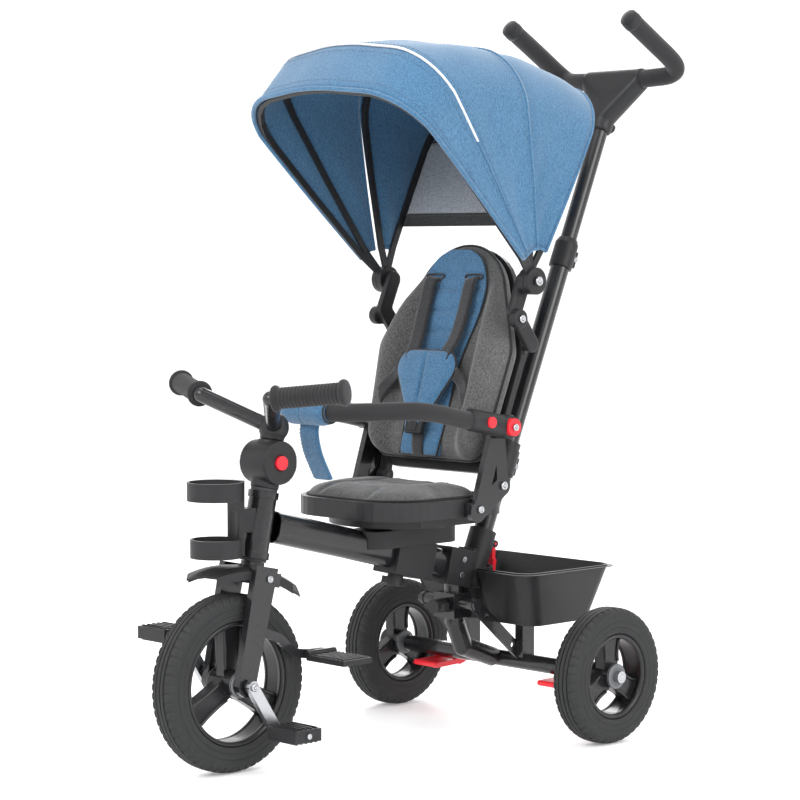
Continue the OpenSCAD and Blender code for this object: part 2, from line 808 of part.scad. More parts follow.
// Half of an arch as [radius, x] points, from the pivot up to the middle of the top
corner_r = 92;
function half_arch(r, x0, x1) = [
  [48, x0],
  [r * 0.45, (x0 + x1) / 2 + 2],
  for (a = [0 : 15 : 75]) [r - 10 - corner_r + corner_r * sin(a), x1 - corner_r + corner_r * cos(a)],
  [r - 6, (x1 - corner_r) * 0.75],
  [r - 1, (x1 - corner_r) * 0.3]
];
function mirrored(pts) = [for (i = [len(pts) - 1 : -1 : 0]) [pts[i].x, -pts[i].y]];
function arch(r, x0, x1) = concat(half_arch(r, x0, x1), mirrored(half_arch(r, x0, x1)));

// Point of an arch turned to an angle in front of upright
function arch_point(p, a) = [p.y, -p.x * sin(a), p.x * cos(a)];

// Curved sheet over a list of angles, cloth_t thick
cloth_t = 3;
module cloth(rows, x0, x1) {
  n = len(arch(300, x0, x1));
  steps = len(rows) - 1;
  outer = [for (a = rows, p = arch(canopy_r(a), x0, x1)) arch_point(p, a)];
  inner = [for (a = rows, p = arch(canopy_r(a) - cloth_t, x0 - cloth_t, x1 - cloth_t)) arch_point(p, a)];
  m = len(outer);
  faces = [
    for (i = [0 : steps - 1], j = [0 : n - 2]) each [
      [i * n + j + 1, i * n + j, (i + 1) * n + j + 1],
      [(i + 1) * n + j + 1, i * n + j, (i + 1) * n + j],
      [m + i * n + j, m + i * n + j + 1, m + (i + 1) * n + j],
      [m + (i + 1) * n + j, m + i * n + j + 1, m + (i + 1) * n + j + 1]
    ],
    for (i = [0 : steps - 1]) each [
      [(i + 1) * n, i * n, m + (i + 1) * n],
      [m + (i + 1) * n, i * n, m + i * n],
      [i * n + n - 1, (i + 1) * n + n - 1, m + i * n + n - 1],
      [m + i * n + n - 1, (i + 1) * n + n - 1, m + (i + 1) * n + n - 1]
    ],
    for (j = [0 : n - 2]) each [
      [j, j + 1, m + j],
      [m + j, j + 1, m + j + 1],
      [steps * n + j + 1, steps * n + j, m + steps * n + j],
      [m + steps * n + j + 1, steps * n + j + 1, m + steps * n + j]
    ]
  ];
  polyhedron(concat(outer, inner), faces);
}

// Angles from a0 to a1 in equal steps
function spread(a0, a1, steps) = [for (i = [0 : steps]) a0 + (a1 - a0) * i / steps];

// Bow under the cloth at an angle, with both feet at the pivots; lead moves it forward
bow_drop = 2.8;
module bow(a, foot_x, x0, x1, lead = -5, wall = 5) {
  r = canopy_r(a) - cloth_t - bow_drop;
  outer = arch(r, x0 - cloth_t - gap, x1 - cloth_t - gap);
  inner = arch(r - 6, x0 - cloth_t - gap - wall, x1 - cloth_t - gap - wall);
  rotate([a, 0, 0]) rotate([90, 0, 0]) translate([0, 0, lead]) linear_extrude(10) union() {
    difference() {
      polygon([for (p = outer) [p.y, p.x]]);
      polygon([for (p = inner) [p.y, p.x]]);
      square([290, 110], center = true);
    }
    for (s = [-1, 1]) slat([s * foot_x, 20], [s * (x0 - cloth_t - gap - wall / 2), 51], wall);
  }
}

rear_x = [164, 172];
front_x = [173, 180];

module canopy_hubs() color("#1b1c1e") on_canopy() both_sides() difference() {
  x_pin(146, 156, 20);
  x_pin(140, 170, 5 + fit);
}

module canopy_bows() color("#222325") on_canopy() difference() {
  union() {
    bow(-rear_bow_a, 153, rear_x.x, rear_x.y, 1);
    bow(mid_bow_a - 1, 153, rear_x.x, rear_x.y);
  }
  both_sides() x_pin(145, 158, 20 + fit);
}

// Flat flap that hangs in the plane of the rear bow and closes the back above the headrest
flap_low = 90;
module back_flap() rotate([-rear_bow_a, 0, 0]) rotate([90, 0, 0]) translate([0, 0, 0.6 - cloth_t])
  linear_extrude(cloth_t) intersection() {
    polygon([for (p = arch(rear_bow_r - 0.5, rear_x.x - 0.5, rear_x.y - 0.5)) [p.y, p.x]]);
    translate([-200, flap_low]) square([400, 300]);
  }

// Cloth over the back half
module canopy_rear() color("#5d86ad") on_canopy() {
  cloth(spread(-rear_bow_a, mid_bow_a, 6), rear_x.x, rear_x.y);
  back_flap();
}

module front_bows() color("#222325") on_canopy() {
  bow(front_bow_a, 161, front_x.x, front_x.y, wall = 3);
  bow(visor_a - 1.5, 161, front_x.x, front_x.y, wall = 3);
  both_sides() difference() {
    x_pin(157, 166, 20);
    x_pin(140, 170, 5 + fit);
  }
}

module canopy_front() color("#5d86ad") on_canopy()
  cloth(concat(spread(mid_bow_a + 0.3, front_bow_a, 5), spread(front_bow_a + 6, visor_a, 1)), front_x.x, front_x.y);

main_tube();
head_tube();
headset_bushes();
cup_holder();
pole_socket();
rear_frame();
rear_axle_tube();
rear_axle();
basket();
fasteners();
post_knob();
brake_pedal_left();
brake_pedal_right();
rear_tyre_left();
rear_tyre_right();
rear_rim_left();
rear_rim_right();
fork();
fender();
stem_housing();
stem_button();
handlebar_clamp();
handlebar();
grips();
front_tyre();
front_rim();
crank_axle();
pedal_left();
pedal_right();
footrest_left();
footrest_right();
pole_lower();
pole_joint();
pole_collar();
pole_lever();
pole_upper();
handle_hub();
handle_grips();
handle_button();
seat_slider();
seat_knob();
swivel_plate();
seat_shell();
seat_cushion();
seat_arms();
backrest_shell();
backrest_cushion();
harness();
canopy_clamps();
safety_bar();
bar_pad();
crotch_strap();
bar_pivots();
bar_button_left();
bar_button_right();
canopy_hubs();
canopy_bows();
canopy_rear();
front_bows();
canopy_front();
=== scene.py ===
# %% [markdown]
# # A children's tricycle with a push handle
# The hard parts of this tricycle come from an exact model: tubes, wheels, shells and knobs.
# Here they get their finishes, and every soft part is made again as what it really is:
# stuffed cushions, sewn panels, webbing, foam tubes and a canopy stretched over bows.
# All lengths are in metres, +Z is up, and the trike drives towards -Y.

# %% Load the fixed frame
import bmesh
import bpy
import json
import math
from mathutils import Matrix, Vector


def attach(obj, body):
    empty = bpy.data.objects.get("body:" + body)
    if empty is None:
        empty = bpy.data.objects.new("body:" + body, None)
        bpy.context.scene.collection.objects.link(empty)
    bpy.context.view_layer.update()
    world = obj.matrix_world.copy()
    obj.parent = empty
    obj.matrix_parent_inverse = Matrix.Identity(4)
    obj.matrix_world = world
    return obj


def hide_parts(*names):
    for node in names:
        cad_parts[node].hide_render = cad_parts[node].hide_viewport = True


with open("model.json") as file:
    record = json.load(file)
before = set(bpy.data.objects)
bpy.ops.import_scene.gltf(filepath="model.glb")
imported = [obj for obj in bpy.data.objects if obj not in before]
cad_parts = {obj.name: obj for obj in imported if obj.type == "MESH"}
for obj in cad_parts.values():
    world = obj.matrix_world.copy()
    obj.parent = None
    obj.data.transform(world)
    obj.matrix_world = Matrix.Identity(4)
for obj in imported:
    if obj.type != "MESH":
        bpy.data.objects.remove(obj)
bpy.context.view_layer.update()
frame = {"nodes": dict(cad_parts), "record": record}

# %% [markdown]
# ## Places on the trike
# A designer thinks about each part in its own frame: the seat turns on an upright axis, the
# backrest leans, the canopy hangs on two pivots, and the fork leans back.
# Each helper takes millimetres in one of those frames and gives a point in metres, so the
# numbers below can be read like those of a drawing.

# %% Frames of the seat, backrest, canopy, steering and pole
def on_trike(x, y, z):
    return Vector((x, y - 355.5, z)) / 1000


def leaned(x, y, z, at, degrees):
    c, s = math.cos(math.radians(degrees)), math.sin(math.radians(degrees))
    return on_trike(x, at[0] + y * c + z * s, at[1] - y * s + z * c)


def on_seat(x, y, z):
    return on_trike(x, y + 342, z)


def on_back(x, y, z):
    return leaned(x, y, z, (414, 388), 16)


def on_canopy(x, y, z):
    return on_trike(x, y + 452, z + 688)


def on_steering(x, y, z):
    return leaned(x, y, z, (10, 127), 12)


def on_pole(x, y, z):
    return leaned(x, y, z, (481, 230), 23)


print("canopy pivot at", tuple(round(v, 4) for v in on_canopy(0, 0, 0)))

# %% [markdown]
# ## The camera
# The camera stands low and in front of the trike's left side, about 3.7 m away, with a long
# lens, so the wheels look nearly round. A small shift keeps the upright lines upright.

# %% Camera
def look_at(name, data, place, target):
    ob = bpy.data.objects.new(name, data)
    bpy.context.scene.collection.objects.link(ob)
    ob.location = place
    ob.rotation_euler = (Vector(target) - Vector(place)).to_track_quat("-Z", "Y").to_euler()
    return ob


lens = bpy.data.cameras.new("camera")
lens.sensor_width = 36
lens.lens = 112
lens.shift_x = 0.03
lens.shift_y = 0.096
lens.clip_end = 50
bpy.context.scene.camera = look_at("camera", lens, (2.661, -2.580, 0.732), (0, -0.0705, 0.400))
print("camera lens", lens.lens, "mm")

# %% [markdown]
# ## Studio light
# Glossy black paint only reads as paint when it mirrors something bright. Four large soft
# boxes do that: one in front, one to the right, one behind for a rim of light on the tubes,
# and one overhead. A pale world fills the shadows.

# %% Lights and world
def softbox(name, place, size, power, target=(0, 0, 0.45)):
    light = bpy.data.lights.new(name, "AREA")
    light.shape = "RECTANGLE"
    light.size, light.size_y = size
    light.energy = power
    return look_at(name, light, place, target)


softbox("key_box", (0.6, -3.0, 2.6), (2.2, 1.8), 74)
softbox("side_box", (3.2, 0.6, 1.9), (1.6, 2.0), 46)
softbox("rim_box", (-2.2, 2.4, 2.2), (2.0, 1.6), 54)
softbox("top_box", (0.0, 0.0, 3.4), (2.4, 2.4), 36)

world = bpy.data.worlds.new("studio")
world.use_nodes = True
world.node_tree.nodes["Background"].inputs["Color"].default_value = (1, 1, 1, 1)
world.node_tree.nodes["Background"].inputs["Strength"].default_value = 0.80
bpy.context.scene.world = world
bpy.context.scene.view_settings.view_transform = "Standard"
print("studio has 4 soft boxes")

# %% [markdown]
# ## Shader groups shared by the finishes
# Every real surface on the trike varies a little, and the same few effects do it each time,
# so each effect is built once as a node group and placed in the materials with its own values.
# A group gives out only colours, masks, heights and normals; the shader stays in the material.

# %% Helpers that build node groups
def new_group(name, inputs, outputs):
    tree = bpy.data.node_groups.new(name, "ShaderNodeTree")
    for label, kind, value in inputs:
        socket = tree.interface.new_socket(label, in_out="INPUT", socket_type=kind)
        socket.default_value = value
    for label, kind in outputs:
        tree.interface.new_socket(label, in_out="OUTPUT", socket_type=kind)
    return tree, tree.nodes.new("NodeGroupInput"), tree.nodes.new("NodeGroupOutput")


def add(tree, kind, **values):
    node = tree.nodes.new(kind)
    for key, value in values.items():
        if hasattr(node, key):
            setattr(node, key, value)
        else:
            node.inputs[key].default_value = value
    return node


def math_node(tree, operation, a, b=None):
    node = add(tree, "ShaderNodeMath", operation=operation)
    for socket, value in zip(node.inputs, (a, b)):
        if value is None:
            continue
        if isinstance(value, (int, float)):
            socket.default_value = value
        else:
            tree.links.new(value, socket)
    return node.outputs[0]


def mix_colours(tree, mask, a, b, blend="MIX"):
    node = add(tree, "ShaderNodeMix", data_type="RGBA", blend_type=blend)
    for socket, value in zip((node.inputs[0], node.inputs[6], node.inputs[7]), (mask, a, b)):
        if isinstance(value, (int, float, tuple)):
            socket.default_value = value
        else:
            tree.links.new(value, socket)
    return node.outputs[2]


print("group helpers ready")

# %% [markdown]
# ### Grain
# Moulded plastic, paint and foam all have a fine skin: a noise at the size of the grain for
# the height, and a much broader one that makes the tone drift slowly over the part.

# %% Grain group
grain, gi, go = new_group(
    "surface_grain",
    [("Scale", "NodeSocketFloat", 900.0), ("Drift Scale", "NodeSocketFloat", 9.0)],
    [("Height", "NodeSocketFloat"), ("Drift", "NodeSocketFloat")],
)
coords = add(grain, "ShaderNodeTexCoord")
fine = add(grain, "ShaderNodeTexNoise", Detail=3.0, Roughness=0.6)
broad = add(grain, "ShaderNodeTexNoise", Detail=4.0, Roughness=0.55)
grain.links.new(coords.outputs["Object"], fine.inputs["Vector"])
grain.links.new(coords.outputs["Object"], broad.inputs["Vector"])
grain.links.new(gi.outputs["Scale"], fine.inputs["Scale"])
grain.links.new(gi.outputs["Drift Scale"], broad.inputs["Scale"])
grain.links.new(fine.outputs["Fac"], go.inputs["Height"])
grain.links.new(broad.outputs["Fac"], go.inputs["Drift"])
print("grain group made")

# %% [markdown]
# ### Soft edges
# A moulded or painted edge is never perfectly sharp. The Bevel node turns the normal over a
# small radius there. Where that turned normal leaves the true one there is an edge, so the
# same node also tells where handling has worn or polished the surface.

# %% Soft edge group
edges, gi, go = new_group(
    "soft_edges",
    [("Radius", "NodeSocketFloat", 0.0012), ("Wear", "NodeSocketFloat", 0.5)],
    [("Normal", "NodeSocketVector"), ("Mask", "NodeSocketFloat")],
)
bevel = add(edges, "ShaderNodeBevel", samples=4)
edges.links.new(gi.outputs["Radius"], bevel.inputs["Radius"])
true_normal = add(edges, "ShaderNodeNewGeometry")
dot = add(edges, "ShaderNodeVectorMath", operation="DOT_PRODUCT")
edges.links.new(bevel.outputs["Normal"], dot.inputs[0])
edges.links.new(true_normal.outputs["Normal"], dot.inputs[1])
turned = math_node(edges, "SUBTRACT", 1.0, dot.outputs["Value"])
patchy = add(edges, "ShaderNodeTexNoise", Scale=60.0, Detail=4.0)
patch_coords = add(edges, "ShaderNodeTexCoord")
edges.links.new(patch_coords.outputs["Object"], patchy.inputs["Vector"])
worn = math_node(edges, "MULTIPLY", turned, patchy.outputs["Fac"])
strong = math_node(edges, "MULTIPLY", worn, gi.outputs["Wear"])
clamped = math_node(edges, "MINIMUM", strong, 1.0)
edges.links.new(bevel.outputs["Normal"], go.inputs["Normal"])
edges.links.new(clamped, go.inputs["Mask"])
print("soft edge group made")

# %% [markdown]
# ### Dust
# Fine dust settles on what faces up, thicker in some places than in others.

# %% Dust group
dust, gi, go = new_group(
    "settled_dust", [("Amount", "NodeSocketFloat", 0.1)], [("Mask", "NodeSocketFloat")]
)
facing = add(dust, "ShaderNodeNewGeometry")
upward = add(dust, "ShaderNodeSeparateXYZ")
dust.links.new(facing.outputs["Normal"], upward.inputs[0])
cloudy = add(dust, "ShaderNodeTexNoise", Scale=35.0, Detail=6.0, Roughness=0.7)
dust_coords = add(dust, "ShaderNodeTexCoord")
dust.links.new(dust_coords.outputs["Object"], cloudy.inputs["Vector"])
top = math_node(dust, "MAXIMUM", upward.outputs["Z"], 0.12)
settled = math_node(dust, "MULTIPLY", top, cloudy.outputs["Fac"])
dust.links.new(math_node(dust, "MULTIPLY", settled, gi.outputs["Amount"]), go.inputs["Mask"])
print("dust group made")

# %% [markdown]
# ### Heathered weave
# The covers are woven from yarns of two tones, so from a distance the cloth looks flecked.
# Short streaks in two directions make the flecks, and two crossed waves make the threads.
# It works from the object's own coordinates, so no unwrapping is needed.

# %% Weave group
weave, gi, go = new_group(
    "heathered_weave",
    [
        ("Light Yarn", "NodeSocketColor", (0.2, 0.35, 0.5, 1)),
        ("Dark Yarn", "NodeSocketColor", (0.05, 0.12, 0.25, 1)),
        ("Threads", "NodeSocketFloat", 700.0),
    ],
    [("Color", "NodeSocketColor"), ("Height", "NodeSocketFloat"), ("Fleck", "NodeSocketFloat")],
)
coords = add(weave, "ShaderNodeTexCoord")
streaks = []
for stretch in ((260.0, 700.0, 900.0), (820.0, 620.0, 240.0)):
    squeeze = add(weave, "ShaderNodeMapping")
    squeeze.inputs["Scale"].default_value = stretch
    weave.links.new(coords.outputs["Object"], squeeze.inputs["Vector"])
    streak = add(weave, "ShaderNodeTexNoise", Scale=1.0, Detail=2.0, Roughness=0.65)
    weave.links.new(squeeze.outputs[0], streak.inputs["Vector"])
    streaks.append(streak.outputs["Fac"])
both = math_node(weave, "ADD", streaks[0], streaks[1])
fleck = add(weave, "ShaderNodeMapRange")
fleck.inputs["From Min"].default_value = 0.84
fleck.inputs["From Max"].default_value = 1.16
weave.links.new(both, fleck.inputs["Value"])
waves = []
for axis in ("X", "Z"):
    wave = add(weave, "ShaderNodeTexWave", wave_type="BANDS", bands_direction=axis, Distortion=1.5)
    weave.links.new(coords.outputs["Object"], wave.inputs["Vector"])
    weave.links.new(math_node(weave, "MULTIPLY", gi.outputs["Threads"], 0.32), wave.inputs["Scale"])
    waves.append(wave.outputs["Fac"])
crossed = math_node(weave, "MAXIMUM", waves[0], waves[1])
raised = math_node(weave, "ADD", crossed, math_node(weave, "MULTIPLY", both, 0.6))
yarn = mix_colours(weave, fleck.outputs[0], gi.outputs["Dark Yarn"], gi.outputs["Light Yarn"])
weave.links.new(yarn, go.inputs["Color"])
weave.links.new(raised, go.inputs["Height"])
weave.links.new(fleck.outputs[0], go.inputs["Fleck"])
print("weave group made")

# %% [markdown]
# ## The finishes
# One function makes the hard finishes, because paint, moulded plastic, foam and steel are all
# a base, a slow drift of tone, a grain, worn edges and a little dust. What sets them apart is
# their numbers, and a coat over the paint.

# %% Hard finishes
def hard_finish(name, base, rough, grain_scale, grain_depth, metal=0.0, coat=0.0, wear=0.3,
                worn_to=(0.07, 0.07, 0.074, 1), edge=0.0012, dusty=0.03, sheen=0.0):
    mat = bpy.data.materials.new(name)
    mat.use_nodes = True
    tree = mat.node_tree
    shader = tree.nodes["Principled BSDF"]
    shader.inputs["Metallic"].default_value = metal
    shader.inputs["Specular IOR Level"].default_value = 0.28
    shader.inputs["Coat Weight"].default_value = coat
    shader.inputs["Coat Roughness"].default_value = 0.08
    shader.inputs["Sheen Weight"].default_value = sheen
    skin = add(tree, "ShaderNodeGroup", node_tree=grain)
    skin.inputs["Scale"].default_value = grain_scale
    rim = add(tree, "ShaderNodeGroup", node_tree=edges)
    rim.inputs["Radius"].default_value = edge
    rim.inputs["Wear"].default_value = wear * 6
    film = add(tree, "ShaderNodeGroup", node_tree=dust)
    film.inputs["Amount"].default_value = dusty
    lighter = tuple(min(1.0, c * 1.7 + 0.004) for c in base) + (1,)
    tone = mix_colours(tree, skin.outputs["Drift"], tuple(base) + (1,), lighter)
    tone = mix_colours(tree, rim.outputs["Mask"], tone, worn_to)
    tone = mix_colours(tree, film.outputs["Mask"], tone, (0.32, 0.31, 0.29, 1))
    tree.links.new(tone, shader.inputs["Base Color"])
    shine = add(tree, "ShaderNodeMapRange")
    shine.inputs["To Min"].default_value = rough - 0.06
    shine.inputs["To Max"].default_value = rough + 0.10
    tree.links.new(skin.outputs["Drift"], shine.inputs["Value"])
    matt = math_node(tree, "ADD", shine.outputs[0], film.outputs["Mask"])
    tree.links.new(matt, shader.inputs["Roughness"])
    bump = add(tree, "ShaderNodeBump", Strength=0.55, Distance=grain_depth)
    tree.links.new(skin.outputs["Height"], bump.inputs["Height"])
    tree.links.new(rim.outputs["Normal"], bump.inputs["Normal"])
    tree.links.new(bump.outputs[0], shader.inputs["Normal"])
    return mat


gloss_paint = hard_finish("gloss_black_paint", (0.006, 0.006, 0.007), 0.24, 260, 0.00006, coat=0.5)
moulded = hard_finish("moulded_black", (0.011, 0.011, 0.012), 0.42, 1300, 0.00016)
satin_shell = hard_finish("satin_shell", (0.012, 0.012, 0.013), 0.34, 1000, 0.00010, edge=0.002)
rim_gloss = hard_finish("rim_gloss", (0.008, 0.008, 0.009), 0.27, 700, 0.00008, coat=0.2)
foam_rubber = hard_finish("tyre_foam", (0.016, 0.0165, 0.017), 0.66, 850, 0.0003, wear=0.5,
                          worn_to=(0.045, 0.044, 0.042, 1), dusty=0.06, edge=0.001)
grip_foam = hard_finish("grip_foam", (0.010, 0.010, 0.011), 0.72, 700, 0.0005, sheen=0.15)
red_gloss = hard_finish("red_plastic", (0.60, 0.012, 0.022), 0.28, 900, 0.00006, coat=0.25,
                        worn_to=(0.75, 0.10, 0.10, 1))
bright_steel = hard_finish("plated_steel", (0.34, 0.345, 0.36), 0.24, 500, 0.00003, metal=1.0,
                           worn_to=(0.26, 0.26, 0.27, 1), dusty=0.02)
hub_grey = hard_finish("hub_grey", (0.10, 0.105, 0.11), 0.35, 900, 0.0001)
bush_plastic = hard_finish("bush_plastic", (0.03, 0.031, 0.033), 0.5, 900, 0.0001)
print("hard finishes:", len([m for m in bpy.data.materials if m.name.endswith(("foam", "paint"))]))

# %% [markdown]
# ## The cloths
# Cloth scatters light at grazing angles, which sheen gives. The canopy's cloth is thin, so a
# little light passes through it and its inside glows faintly.

# %% Cloth finishes
def cloth_finish(name, light, dark, threads=700.0, rough=0.9, sheen=0.35, thin=0.0):
    mat = bpy.data.materials.new(name)
    mat.use_nodes = True
    tree = mat.node_tree
    shader = tree.nodes["Principled BSDF"]
    shader.inputs["Sheen Weight"].default_value = sheen
    shader.inputs["Sheen Roughness"].default_value = 0.5
    shader.inputs["Specular IOR Level"].default_value = 0.25
    shader.inputs["Subsurface Weight"].default_value = thin
    shader.inputs["Subsurface Radius"].default_value = (0.004, 0.004, 0.004)
    fibre = add(tree, "ShaderNodeGroup", node_tree=weave)
    fibre.inputs["Light Yarn"].default_value = light + (1,)
    fibre.inputs["Dark Yarn"].default_value = dark + (1,)
    fibre.inputs["Threads"].default_value = threads
    drift = add(tree, "ShaderNodeGroup", node_tree=grain)
    drift.inputs["Drift Scale"].default_value = 14.0
    faded = tuple(min(1.0, c * 1.12 + 0.01) for c in light) + (1,)
    slight = math_node(tree, "MULTIPLY", drift.outputs["Drift"], 0.22)
    tree.links.new(mix_colours(tree, slight, fibre.outputs["Color"], faded), shader.inputs["Base Color"])
    rougher = add(tree, "ShaderNodeMapRange")
    rougher.inputs["To Min"].default_value = rough - 0.08
    rougher.inputs["To Max"].default_value = min(1.0, rough + 0.06)
    tree.links.new(fibre.outputs["Fleck"], rougher.inputs["Value"])
    tree.links.new(rougher.outputs[0], shader.inputs["Roughness"])
    bump = add(tree, "ShaderNodeBump", Strength=0.5, Distance=0.0004)
    tree.links.new(fibre.outputs["Height"], bump.inputs["Height"])
    tree.links.new(bump.outputs[0], shader.inputs["Normal"])
    return mat


canopy_cloth = cloth_finish("canopy_cloth", (0.074, 0.190, 0.320), (0.022, 0.084, 0.176), thin=0.08)
blue_cloth = cloth_finish("blue_cloth", (0.068, 0.176, 0.300), (0.020, 0.078, 0.168))
grey_cloth = cloth_finish("grey_cloth", (0.125, 0.123, 0.121), (0.032, 0.032, 0.034))
lining_cloth = cloth_finish("black_webbing", (0.030, 0.030, 0.032), (0.006, 0.006, 0.007), 1100.0)
piping_cloth = cloth_finish("black_piping", (0.018, 0.018, 0.019), (0.006, 0.006, 0.006), 1500.0)
bright_piping = cloth_finish("pale_piping", (0.80, 0.81, 0.82), (0.58, 0.60, 0.62), 1500.0, 0.55)
thread = cloth_finish("sewing_thread", (0.10, 0.20, 0.33), (0.05, 0.12, 0.22), 2500.0)
window_mesh = cloth_finish("window_mesh", (0.42, 0.44, 0.47), (0.20, 0.22, 0.25), 420.0)
print("cloths made:", len(bpy.data.materials), "materials in all")

# %% [markdown]
# ## Finishes for the exact parts
# The record names a material slot for every node, so most parts get their finish by slot.

# %% Assign finishes by slot
finish_of_slot = {
    "frame_paint": gloss_paint, "black_plastic": moulded, "shell_plastic": satin_shell,
    "rim_plastic": rim_gloss, "tyre_foam": foam_rubber, "grip_foam": grip_foam,
    "red_plastic": red_gloss, "bright_steel": bright_steel, "bush_plastic": bush_plastic,
    "blue_fabric": blue_cloth, "grey_fabric": grey_cloth, "canopy_fabric": canopy_cloth,
}
for entry in frame["record"]["subparts"]:
    ob = frame["nodes"][entry["node"]]
    for slot in ob.material_slots:
        slot.material = finish_of_slot[entry["material_slot"]]

# %% [markdown]
# ## Building blocks for new pieces
# Nearly every soft piece is one of four things: a stuffed pad, a tube swept along a path, a
# strap, or a turned shape. Each gets one small builder, made of plain vertices and faces.

# %% Make an object from vertices and faces
def made(name, verts, faces, mat, body, smooth=True, subdivide=0):
    mesh = bpy.data.meshes.new(name)
    mesh.from_pydata([tuple(v) for v in verts], [], faces)
    bm = bmesh.new()
    bm.from_mesh(mesh)
    bmesh.ops.remove_doubles(bm, verts=bm.verts, dist=1e-6)
    bmesh.ops.recalc_face_normals(bm, faces=bm.faces)
    bm.to_mesh(mesh)
    bm.free()
    for face in mesh.polygons:
        face.use_smooth = smooth
    mesh.materials.append(mat)
    ob = bpy.data.objects.new(name, mesh)
    bpy.context.scene.collection.objects.link(ob)
    if subdivide:
        ob.modifiers.new("soft", "SUBSURF").levels = subdivide
        ob.modifiers["soft"].render_levels = subdivide
    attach(ob, body)
    return ob


def grid_faces(rows, cols, wrap_rows=False, wrap_cols=False):
    faces = []
    for i in range(rows if wrap_rows else rows - 1):
        for j in range(cols if wrap_cols else cols - 1):
            a, b = i * cols + j, i * cols + (j + 1) % cols
            c, d = ((i + 1) % rows) * cols + (j + 1) % cols, ((i + 1) % rows) * cols + j
            faces.append((a, b, c, d))
    return faces


print("mesh helpers ready")

# %% [markdown]
# A smooth path through a few points is a Catmull-Rom curve: it passes through every point and
# its bends have no corners, as a bent tube or a hanging strap has none.

# %% Smooth paths, tubes and straps
def smooth_path(points, steps=8):
    pts = [Vector(p) for p in points]
    ends = [2 * pts[0] - pts[1]] + pts + [2 * pts[-1] - pts[-2]]
    path = []
    for i in range(1, len(ends) - 2):
        p0, p1, p2, p3 = ends[i - 1:i + 3]
        for k in range(steps):
            t = k / steps
            path.append(0.5 * (2 * p1 + (p2 - p0) * t + (2 * p0 - 5 * p1 + 4 * p2 - p3) * t ** 2
                               + (3 * p1 - p0 - 3 * p2 + p3) * t ** 3))
    return path + [pts[-1]]


def frames_along(path, up):
    side, out = None, []
    for i, p in enumerate(path):
        ahead = (path[min(i + 1, len(path) - 1)] - path[max(i - 1, 0)]).normalized()
        normal = up if side is None else side.cross(ahead)
        side = ahead.cross(normal).normalized()
        out.append((p, side, side.cross(ahead).normalized()))
    return out


def swept(name, path, section, mat, body, up=Vector((0, 0, 1)), loop=False, subdivide=0):
    """section gives [(across, up), ...] for a place from 0 to 1 along the path."""
    verts, turns = [], frames_along(path, up)
    for i, (p, side, rise) in enumerate(turns):
        shape = section(i / (len(turns) - 1))
        verts += [p + side * a + rise * b for a, b in shape]
    n = len(shape)
    faces = grid_faces(len(turns), n, wrap_rows=loop, wrap_cols=True)
    if not loop:
        faces += [tuple(range(n)), tuple(range(len(verts) - n, len(verts)))]
    return made(name, verts, faces, mat, body, subdivide=subdivide)


def round_section(radius, n=16):
    if not callable(radius):
        return lambda t, r=radius: [(r * math.cos(2 * math.pi * k / n), r * math.sin(2 * math.pi * k / n))
                                    for k in range(n)]
    return lambda t: [(radius(t) * math.cos(2 * math.pi * k / n), radius(t) * math.sin(2 * math.pi * k / n))
                      for k in range(n)]


def strap_section(width, thick):
    w, t, e = width / 2, thick / 2, min(thick / 2, width / 6)
    ring = [(-w, 0), (-w + e, t), (-w * 0.5, t), (0, t), (w * 0.5, t), (w - e, t),
            (w, 0), (w - e, -t), (w * 0.5, -t), (0, -t), (-w * 0.5, -t), (-w + e, -t)]
    return lambda s: ring


print("sweep helpers ready")

# %% [markdown]
# A turned shape is a profile of (distance along the axis, radius) pairs swept round an axis.
# Caps, hubs, bolts and ribbed grips are all turned shapes.

# %% Turned shapes
def turned_piece(name, base, axis, profile, mat, body, n=40, smooth=True, ring=False):
    axis = Vector(axis).normalized()
    across = axis.orthogonal().normalized()
    other = axis.cross(across)
    verts = []
    for along, radius in profile:
        for k in range(n):
            a = 2 * math.pi * k / n
            verts.append(Vector(base) + axis * along + (across * math.cos(a) + other * math.sin(a)) * radius)
    faces = grid_faces(len(profile), n, wrap_rows=ring, wrap_cols=True)
    if not ring:
        faces += [tuple(range(n)), tuple(range(len(verts) - n, len(verts)))]
    return made(name, verts, faces, mat, body, smooth=smooth)


def dome(radius, height, steps=7, skirt=0.0):
    prof = [(0.0, radius), (skirt, radius)] if skirt else [(0.0, radius)]
    for k in range(1, steps):
        a = math.pi / 2 * k / steps
        prof.append((skirt + height * math.sin(a), radius * math.cos(a)))
    return prof + [(skirt + height, radius * 0.02)]


def bolt(name, place, axis, radius, body, mat=None):
    head = [(0, radius), (radius * 0.55, radius), (radius * 0.72, radius * 0.86),
            (radius * 0.72, radius * 0.5), (radius * 0.35, radius * 0.5), (radius * 0.35, 0.0001)]
    return turned_piece(name, place, axis, head, mat or bright_steel, body, 24)


print("turning helpers ready")

# %% [markdown]
# ## Stuffed pads
# A sewn pad is fullest in the middle and pulls in to its seam all round. Seen from the front
# it is an outline; across it, the thickness rises steeply from the seam and then levels off.
# So a pad is built as rings: the outline, and smaller and smaller copies of it, each lifted by
# a rounded profile. Channels and folds are then pushed in where they are sewn.

# %% Outlines and pads
def hull_outline(circles, n=96):
    """Outline round a set of (x, y, radius) circles, with evenly spaced points."""
    raw = []
    for k in range(720):
        a = 2 * math.pi * k / 720
        c = max(circles, key=lambda c: c[0] * math.cos(a) + c[1] * math.sin(a) + c[2])
        raw.append((c[0] + c[2] * math.cos(a), c[1] + c[2] * math.sin(a)))
    return even_outline(raw, n)


